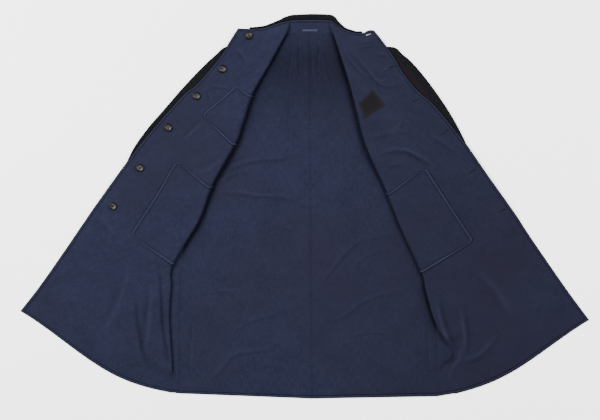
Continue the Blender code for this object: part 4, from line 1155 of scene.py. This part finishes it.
def make_pocket(name, side, rows, starts):
    """Patch on the front, made from the front's own points moved out, with its lower corners
    rounded. Its edge is a raised ridge, with the groove of its stitching inside it."""
    first, last = rows
    corner_rows = 0.10
    stops = np.unique(np.concatenate([
        first + corner_rows * (1 - np.cos(np.linspace(0, math.pi / 2, 9))),
        rows_between(first + corner_rows, last - corner_rows, ROW_STEP),
        last - corner_rows * (1 - np.cos(np.linspace(0, math.pi / 2, 9))),
    ]))
    start = curve((first, (first + last) / 2, last), starts, stops)
    near = np.minimum(stops - first, last - stops) / corner_rows
    rounding = 1 - np.sqrt(1 - (1 - np.clip(near, 0, 1)) ** 2)
    lengths = np.linalg.norm(side.front(0.0, stops) - side.front(1.0, stops), axis=-1)
    start = start + rounding * POCKET_CORNER / lengths
    share = np.concatenate([np.linspace(0, 0.1, 8)[:-1], np.linspace(0.1, 1, 40)])
    flat = start[:, None] + (1 - start[:, None]) * share
    rolled = np.repeat(1 + np.linspace(0, POCKET_WRAP, 8)[None, 1:], len(stops), axis=0)
    a = np.concatenate([flat, rolled], axis=1)
    v = stops[:, None] + 0 * a
    points = side.dressed_front(a, v)
    edge = nearest_line(points, points[:, :1], points[:1], points[-1:])
    ridge = 2.0 * bell(edge - 3.2, 2.4) - 0.4 * bell(edge - 8.0, 1.8)
    # Painted highlight on the pocket's raised ridge, and painted shade at its edge and in the
    # groove of its stitching.
    tone = side.front_tone(a, v) + 0.34 * bell(edge - 3.8, 2.2)
    tone = tone - 0.7 * bell(edge, 1.8) - 0.28 * bell(edge - 8.6, 2.4)
    upside = face_up(points)
    normals = grid_normals(points, whole(points)) * upside
    points = points + normals * (CLOTH / 2 + GAP + PATCH / 2 + ridge)[..., None]
    pocket = wall(name + "_cloth", points, (COTTON,), thickness=PATCH, upside=upside, tone=tone)
    return pocket, points


def find_on_front(side, plan):
    """Place across and row at which the top of a front lies at a point in plan, by Newton's
    method from the middle of the front."""
    a = np.full(plan.shape[:-1], 0.5)
    v = np.full(plan.shape[:-1], 4.0)
    step = 0.01
    for _ in range(25):
        here = side.front(a, v)[..., :2]
        by_a = (side.front(a + step, v)[..., :2] - here) / step
        by_v = (side.front(a, v + step)[..., :2] - here) / step
        miss = plan - here
        area = by_a[..., 0] * by_v[..., 1] - by_a[..., 1] * by_v[..., 0]
        da = (miss[..., 0] * by_v[..., 1] - miss[..., 1] * by_v[..., 0]) / area
        dv = (by_a[..., 0] * miss[..., 1] - by_a[..., 1] * miss[..., 0]) / area
        a = np.clip(a + np.clip(da, -0.3, 0.3), 0.0, 1 - step)
        v = np.clip(v + np.clip(dv, -1, 1), 0.0, HEM - step)
    return a, v


def make_label():
    share = np.linspace(0, 1, 24)
    s, t = np.meshgrid(share, share, indexing="ij")
    a, b, c, d = (np.array(corner, float) for corner in LABEL_CORNERS)
    s, t = s[..., None], t[..., None]
    plan = (a * (1 - s) + b * s) * (1 - t) + (d * (1 - s) + c * s) * t
    points = RIGHT.dressed_front(*find_on_front(RIGHT, plan))
    across = np.minimum(share, 1 - share) * np.linalg.norm(b - a)
    edge = np.minimum(across[:, None], across[None, :])
    label = wall(
        "label_cloth", points, (LABEL_CLOTH,), thickness=LABEL_THICKNESS,
        off=CLOTH / 2 + GAP + LABEL_THICKNESS / 2, edge=edge,
    )
    return label, points


def make_loop():
    """Hanger loop, a short tape that rises a little between its sewn ends."""
    along = np.linspace(-0.5, 0.5, 25)[:, None]
    across = np.linspace(-0.5, 0.5, 7)[None, :]
    x = LOOP_PLACE[0] + along * LOOP_LENGTH + 0 * across
    y = LOOP_PLACE[1] + across * LOOP_WIDTH + 0 * along
    rise = LOOP_RISE * np.cos(math.pi * along) ** 2 + 0.4 * np.cos(math.pi * across)
    z = LOW + NECK_LIFT + CLOTH / 2 + GAP + LOOP_THICKNESS / 2 + rise
    points = np.stack([x, y, z], axis=-1)
    return wall("hanger_loop_tape", points, (TAPE,), thickness=LOOP_THICKNESS)


def stitch_mesh(
    name, points, ups, material=THREAD, length=STITCH_LENGTH, width=STITCH_WIDTH, pitch=STITCH_PITCH
):
    """Row of stitches along a line that lies on the cloth: each is a small eight-faced bead, long
    along the line, half sunk in the cloth. ups are the directions out of the cloth."""
    steps = np.linalg.norm(np.diff(points, axis=0), axis=-1)
    run = np.concatenate([[0], np.cumsum(steps)])
    at = np.arange(pitch / 2, run[-1], pitch)
    centre = np.stack([np.interp(at, run, points[:, k]) for k in range(3)], axis=-1)
    ahead = np.stack([np.interp(at + 0.5, run, points[:, k]) for k in range(3)], axis=-1)
    behind = np.stack([np.interp(at - 0.5, run, points[:, k]) for k in range(3)], axis=-1)
    up = unit(np.stack([np.interp(at, run, ups[:, k]) for k in range(3)], axis=-1))
    forward = unit(ahead - behind)
    across = np.cross(up, forward)
    return beads(name, centre, forward * length / 2, across * width / 2, up * width / 2, material)


def beads(name, centre, long_way, across, up, material):
    """Eight-faced beads about their centres, from their three half axes."""
    corners = np.stack([
        centre + long_way, centre + across, centre - long_way, centre - across,
        centre + up, centre - up,
    ], axis=1)
    faces = np.array([
        (0, 1, 4), (1, 2, 4), (2, 3, 4), (3, 0, 4), (1, 0, 5), (2, 1, 5), (3, 2, 5), (0, 3, 5),
    ])
    numbered = faces[None] + 6 * np.arange(len(centre))[:, None, None]
    return new_mesh(name, corners.reshape(-1, 3), numbered.reshape(-1, 3), (material,))


def surface_line(surface, first, second):
    """Points along a line on a surface of two parameters, raised to its upper face, with the
    directions out of it."""
    step = 0.004
    here = surface(first, second)
    one = surface(first + step, second) - here
    two = surface(first, second + step) - here
    ups = unit(np.cross(one, two))
    ups = ups * np.sign(ups[..., 2:])
    return here + ups * (CLOTH / 2 + 0.1), ups


def edge_stitches(side):
    """Topstitching down the front edge and along the hem of a front."""
    v = np.linspace(0.02, HEM - 0.001, 500)
    down = above_hem(v)
    keep = down > STITCH_INSET
    a = STITCH_INSET / side.flap_width(v) / EDGE_SLANT
    edge_line = surface_line(side.dressed_front, a[keep], v[keep])
    hem_row = np.interp(STITCH_INSET, down[::-1], v[::-1])
    across = np.linspace(a[-1], 0.99, 200)
    hem_line = surface_line(side.dressed_front, across, np.full(across.shape, hem_row))
    back = np.linspace(0.999, 0.001, 120)
    back_line = surface_line(side.dressed_back, back, np.full(back.shape, hem_row))
    lines = (("edge", edge_line), ("hem", hem_line), ("back_hem", back_line))
    return [stitch_mesh(f"stitches_{name}_{side.name}", *line) for name, line in lines]


def revolved(name, profile, steps, material):
    """Solid turned about the Z axis from a profile of radius and height; the number called rim
    is the share of the outer radius."""
    profile = np.array(profile, float)
    angle = np.linspace(0, 2 * math.pi, steps, endpoint=False)
    ring = np.stack([np.cos(angle), np.sin(angle)], axis=-1)
    inner = profile[1:-1]
    vertices = np.concatenate([
        [(0, 0, profile[0, 1])],
        np.concatenate([
            inner[:, None, :1] * ring[None], np.repeat(inner[:, None, 1:], steps, axis=1)
        ], axis=-1).reshape(-1, 3),
        [(0, 0, profile[-1, 1])],
    ])
    number = 1 + np.arange(len(inner) * steps).reshape(len(inner), steps)
    after = np.roll(number, -1, axis=1)
    sides = np.stack([number[:-1], after[:-1], after[1:], number[1:]], axis=-1).reshape(-1, 4)
    last = len(vertices) - 1
    caps = [[0, int(b), int(a)] for a, b in zip(number[0], after[0])]
    caps += [[last, int(a), int(b)] for a, b in zip(number[-1], after[-1])]
    mesh = bpy.data.meshes.new(name)
    mesh.from_pydata([tuple(v) for v in vertices / 1000], [], sides.tolist() + caps)
    mesh.materials.append(material)
    mesh.shade_smooth()
    share = np.linalg.norm(vertices[:, :2], axis=1) / profile[:, 0].max()
    number_map = mesh.attributes.new("rim", "FLOAT", "POINT")
    number_map.data.foreach_set("value", share.astype(np.float32))
    return add_object(name, mesh)


def cut_out(thing, cutters):
    """Mesh that is left of a piece without the cutters, which go."""
    for cutter in cutters:
        cut = thing.modifiers.new(cutter.name, "BOOLEAN")
        cut.operation = "DIFFERENCE"
        cut.object = cutter
    bpy.context.view_layer.update()
    graph = bpy.context.evaluated_depsgraph_get()
    mesh = bpy.data.meshes.new_from_object(thing.evaluated_get(graph))
    thing.modifiers.clear()
    for cutter in cutters:
        bpy.data.objects.remove(cutter)
    return mesh


def drilled_button():
    """Horn button with a rounded rim, a dished middle and four thread holes."""
    blank = revolved("button_blank", BUTTON_PROFILE, 40, HORN)
    reach = THREAD_HOLE_PLACE / 1000
    drills = []
    for k in range(4):
        angle = math.pi / 4 + k * math.pi / 2
        bpy.ops.mesh.primitive_cylinder_add(
            vertices=14, radius=THREAD_HOLE / 1000, depth=0.012,
            location=(reach * math.cos(angle), reach * math.sin(angle), 0),
        )
        drills.append(bpy.context.object)
    mesh = cut_out(blank, drills)
    bpy.data.objects.remove(blank)
    return mesh


def tilt_to(normal):
    """Turn that takes +Z to the normal."""
    z = unit(np.asarray(normal, float))
    x = unit(np.cross((0, 1, 0), z))
    return np.stack([x, np.cross(z, x), z], axis=-1)


def seat_button(name, mesh, points, turn):
    """Copy of the button on the cloth about its centre, tilted as the cloth is, with two bars of
    thread over its holes."""
    middle = points.mean(axis=0)
    _, _, axes = np.linalg.svd(points - middle)
    normal = axes[2] * np.sign(axes[2][2])
    clear = ((points - points[0]) @ normal).max()
    seat = points[0] + normal * (clear + CLOTH / 2 + PATCH_GAP)
    frame_axes = tilt_to(normal)
    spin = np.array([
        (math.cos(turn), -math.sin(turn), 0), (math.sin(turn), math.cos(turn), 0), (0, 0, 1)
    ])
    axes = frame_axes @ spin
    own = mesh.copy()
    flat = np.empty(len(own.vertices) * 3)
    own.vertices.foreach_get("co", flat)
    placed = flat.reshape(-1, 3) @ axes.T + seat / 1000
    own.vertices.foreach_set("co", placed.ravel())
    own.update()
    button = add_object(name + "_horn", own)
    reach = THREAD_HOLE_PLACE / math.sqrt(2)
    lines = []
    for side in (-1, 1):
        t = np.linspace(-1, 1, 9)
        x = np.full(t.shape, side * reach)
        z = 2.2 + 0.75 * np.sqrt(1 - t**2)
        lines.append(np.stack([x, t * reach, z], axis=-1) @ axes.T + seat)
    thread = tubes(name + "_thread", lines, 0.45, DARK_THREAD)
    return button, thread


def tubes(name, lines, radius, material, sides=6):
    """Round threads about lines of points."""
    vertices, faces, base = [], [], 0
    angle = np.linspace(0, 2 * math.pi, sides, endpoint=False)
    for line in lines:
        forward = unit(np.gradient(line, axis=0))
        across = unit(np.cross(forward, (0.13, 0.21, 1.0)))
        up = np.cross(across, forward)
        ring = line[:, None] + radius * (
            across[:, None] * np.cos(angle)[:, None] + up[:, None] * np.sin(angle)[:, None]
        )
        number = base + np.arange(len(line) * sides).reshape(len(line), sides)
        after = np.roll(number, -1, axis=1)
        faces.append(
            np.stack([number[:-1], after[:-1], after[1:], number[1:]], axis=-1).reshape(-1, 4)
        )
        vertices.append(ring.reshape(-1, 3))
        base += ring.shape[0] * sides
    return new_mesh(name, np.concatenate(vertices), np.concatenate(faces), (material,))


def disc_around(spot):
    """Points in plan at the middle of a button and round its rim."""
    angle = np.linspace(0, 2 * math.pi, 13)[:-1]
    rim = np.stack([np.cos(angle), np.sin(angle)], axis=-1) * BUTTON_RADIUS
    return np.concatenate([[(0, 0)], rim]) + np.array(spot, float)


def on_grid(grid, spots):
    """Points of a grid's surface at places in plan, weighted from the four nearest points."""
    flat = grid.reshape(-1, 3)
    gaps = np.linalg.norm(flat[None, :, :2] - spots[:, None], axis=-1)
    nearest = np.argsort(gaps, axis=1)[:, :4]
    weight = 1 / (1e-3 + np.take_along_axis(gaps, nearest, axis=1))
    z = (flat[nearest][..., 2] * weight).sum(-1) / weight.sum(-1)
    return np.concatenate([spots, z[:, None]], axis=-1)


def slot_box(name, middle, length, width, turn):
    """Cutter for one buttonhole."""
    bpy.ops.mesh.primitive_cube_add(size=1.0)
    box = bpy.context.object
    box.name = name
    box.scale = (length / 1000, width / 1000, 0.010)
    box.rotation_euler = (0, 0, turn)
    box.location = tuple(value / 1000 for value in middle)
    return box


def worked_edge(name, middle, ups, turn, length, width, material, closed=False):
    """Ring of close stitches round a buttonhole, square to it, fanned at both ends. A closed
    one has its two lips together, just below the ring."""
    off = width / 2 + EDGE_OFF
    straight = np.arange(-length / 2, length / 2, EDGE_PITCH)
    fan = np.linspace(-math.pi / 2, math.pi / 2, 7)
    x, y = length / 2 + off * np.cos(fan), off * np.sin(fan)
    sides = [np.stack([straight, 0 * straight + s * off], axis=-1) for s in (-1, 1)]
    local = np.concatenate(sides + [np.stack([s * x, y], axis=-1) for s in (-1, 1)])
    inner = np.stack([np.clip(local[:, 0], -length / 2, length / 2), 0 * local[:, 0]], axis=-1)
    direction = unit(local - inner)
    depth = np.zeros(len(local))
    if closed:
        lips = np.stack([straight, 0 * straight], axis=-1)
        local = np.concatenate([local, lips])
        direction = np.concatenate([direction, np.tile((1.0, 0.0), (len(lips), 1))])
        depth = np.concatenate([depth, np.full(len(lips), -LIP_DEPTH)])
    spin = np.array([(math.cos(turn), math.sin(turn)), (-math.sin(turn), math.cos(turn))])
    centre = np.concatenate([local @ spin, depth[:, None]], axis=-1) + middle
    long_way = np.concatenate([direction @ spin, np.zeros((len(local), 1))], axis=-1)
    up = np.broadcast_to(ups, centre.shape)
    axes = (long_way, unit(np.cross(up, long_way)), up)
    return beads(name, centre, *(axis * half for axis, half in zip(axes, EDGE_BEAD)), material)


def make_buttonholes(front, stand, stand_points):
    """Buttonholes square to the front edge of the right front, and one in the stand, which
    gapes, each with its worked edge."""
    slots, made = [], []
    for number, spot in enumerate(BUTTONHOLES, start=1):
        a, v = find_on_front(RIGHT, np.array(spot, float))
        point, up = surface_line(RIGHT.dressed_front, a, v)
        across = RIGHT.front(a + 0.02, v) - RIGHT.front(a, v)
        turn = math.atan2(across[1], across[0])
        slots.append(slot_box(f"slot_{number}", point, BUTTONHOLE_LENGTH, BUTTONHOLE_WIDTH, turn))
        made.append(worked_edge(
            f"buttonhole_{number}_edge", point, up, turn, BUTTONHOLE_LENGTH, BUTTONHOLE_WIDTH,
            THREAD, closed=True,
        ))
    front.data = cut_out(front, slots)
    point = on_grid(stand_points, np.array([COLLAR_HOLE]))[0]
    box = slot_box("slot_collar", point, *COLLAR_HOLE_SIZE, COLLAR_HOLE_TURN)
    box.scale[2] = 0.030
    stand.data = cut_out(stand, [box])
    collar = worked_edge(
        "buttonhole_collar_edge", point + (0, 0, LOW), np.array((0.0, 0.0, 1.0)), COLLAR_HOLE_TURN,
        *COLLAR_HOLE_SIZE, DARK_THREAD,
    )
    return made, collar


def level_stitches(name, line, off, *settings, **sizes):
    """Row of stitches on cloth that lies nearly level, off above a line."""
    ups = np.zeros(line.shape)
    ups[:, 2] = 1.0
    return stitch_mesh(f"stitches_{name}", line + ups * off, ups, *settings, **sizes)


def pocket_stitches(name, points):
    """Stitching in the groove that runs round a pocket inside its edge."""
    inset = POCKET_STITCH_INSET
    run = np.linalg.norm(points[:, 1:] - points[:, :-1], axis=-1).cumsum(axis=1)
    near = np.argmin(np.abs(run - inset), axis=1) + 1
    down = np.linalg.norm(np.diff(points[:, 20], axis=0), axis=-1).cumsum()
    first = int(np.searchsorted(down, inset)) + 1
    last = len(points) - 1 - (int(np.searchsorted(down[-1] - down[::-1], inset)) + 1)
    rows = np.arange(first + 1, last)
    top = points[first, near[first]:-3][::-1]
    foot = points[last, near[last]:-3]
    line = np.concatenate([top, points[rows, near[rows]], foot])
    return level_stitches(name, line, PATCH / 2 + 0.1)


def stand_stitches(points):
    """Stitching along the top edge of the stand."""
    run = np.linalg.norm(points[-1] - points[-5], axis=-1)
    share = np.clip(STAND_STITCH_INSET / np.maximum(run, 1e-3), 0, 1)[:, None]
    line = points[-1] + (points[-5] - points[-1]) * share
    return level_stitches("stand", line, LOW + 0.1)


def label_stitches(points):
    """Stitching round the label, 2 mm inside its edge."""
    inner = points[2:-2, 2:-2]
    line = np.concatenate([inner[0], inner[1:, -1], inner[-1, ::-1][1:], inner[::-1, 0][1:]])
    off = CLOTH / 2 + GAP + LABEL_THICKNESS + 0.05
    return level_stitches("label", line, off, DARK_THREAD, length=1.8, width=0.5, pitch=2.6)


def dress():
    made = {}
    fronts = {side.name: make_front(side) for side in SIDES.values()}
    stand, stand_points = make_stand()
    for side in SIDES.values():
        made[f"front_{side.name}"] = [fronts[side.name]]
        made[f"back_{side.name}"] = [make_back(side)]
        made[f"sleeve_{side.name}"] = [make_sleeve(side)]
        edge, hem, back_hem = edge_stitches(side)
        made[f"front_{side.name}"] += [edge, hem]
        made[f"back_{side.name}"].append(back_hem)
    holes, collar_hole = make_buttonholes(fronts["right"], stand, stand_points)
    made["front_right"] += holes
    made["collar_stand"] = [stand, collar_hole, stand_stitches(stand_points)]
    made["collar_leaf"] = [make_leaf()]
    for name, (side, rows, starts) in POCKETS.items():
        pocket, points = make_pocket(name, SIDES[side], rows, starts)
        made[name] = [pocket, pocket_stitches(name, points)]
    label, label_points = make_label()
    made["label"] = [label, label_stitches(label_points)]
    made["hanger_loop"] = [make_loop()]
    mesh = drilled_button()
    for number, spot in enumerate(BUTTON_PLACES, start=1):
        points = LEFT.dressed_front(*find_on_front(LEFT, disc_around(spot)))
        made[f"button_{number}"] = list(seat_button(f"button_{number}", mesh, points, 0.4 * number))
    spots = on_grid(stand_points, disc_around(COLLAR_BUTTON_PLACE))
    made["button_collar"] = list(seat_button("button_collar", mesh, spots, 0.1))
    for node, things in made.items():
        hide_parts(node)
        for thing in things:
            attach(thing, "root")
    return made


def make_stage():
    """Pale floor, soft light from the upper left and a camera straight above."""
    bpy.ops.mesh.primitive_plane_add(size=FLOOR_SIZE, location=(0, 0, -FLOOR_DROP))
    floor = bpy.context.object
    floor.name = "floor"
    shader = Shader("floor_paper", Roughness=1.0)
    shader.paint("Base Color", FLOOR_PAINT)
    shader.paint("Emission Color", WHITE)
    shader.paint("Emission Strength", FLOOR_GLOW)
    floor.data.materials.append(shader.material)
    world = bpy.data.worlds.new("room")
    bpy.context.scene.world = world
    world.use_nodes = True
    air = world.node_tree.nodes["Background"]
    air.inputs["Color"].default_value = WHITE
    air.inputs["Strength"].default_value = ROOM_LIGHT
    for name, spot, power in LAMPS:
        data = bpy.data.lights.new(name, "AREA")
        data.shape = "DISK"
        data.size = LAMP_SIZE
        data.energy = power
        turn = tilt_to(spot)
        lamp = add_object(name, data)
        lamp.location = spot
        lamp.rotation_euler = (0, math.acos(turn[2, 2]), math.atan2(turn[1, 2], turn[0, 2]))
    data = bpy.data.cameras.new("camera")
    data.lens = data.sensor_width * CAMERA_PLACE[2] / VIEW_WIDTH
    data.clip_end = 50.0
    camera = add_object("camera", data)
    camera.location = CAMERA_PLACE
    bpy.context.scene.camera = camera


made = dress()
make_stage()
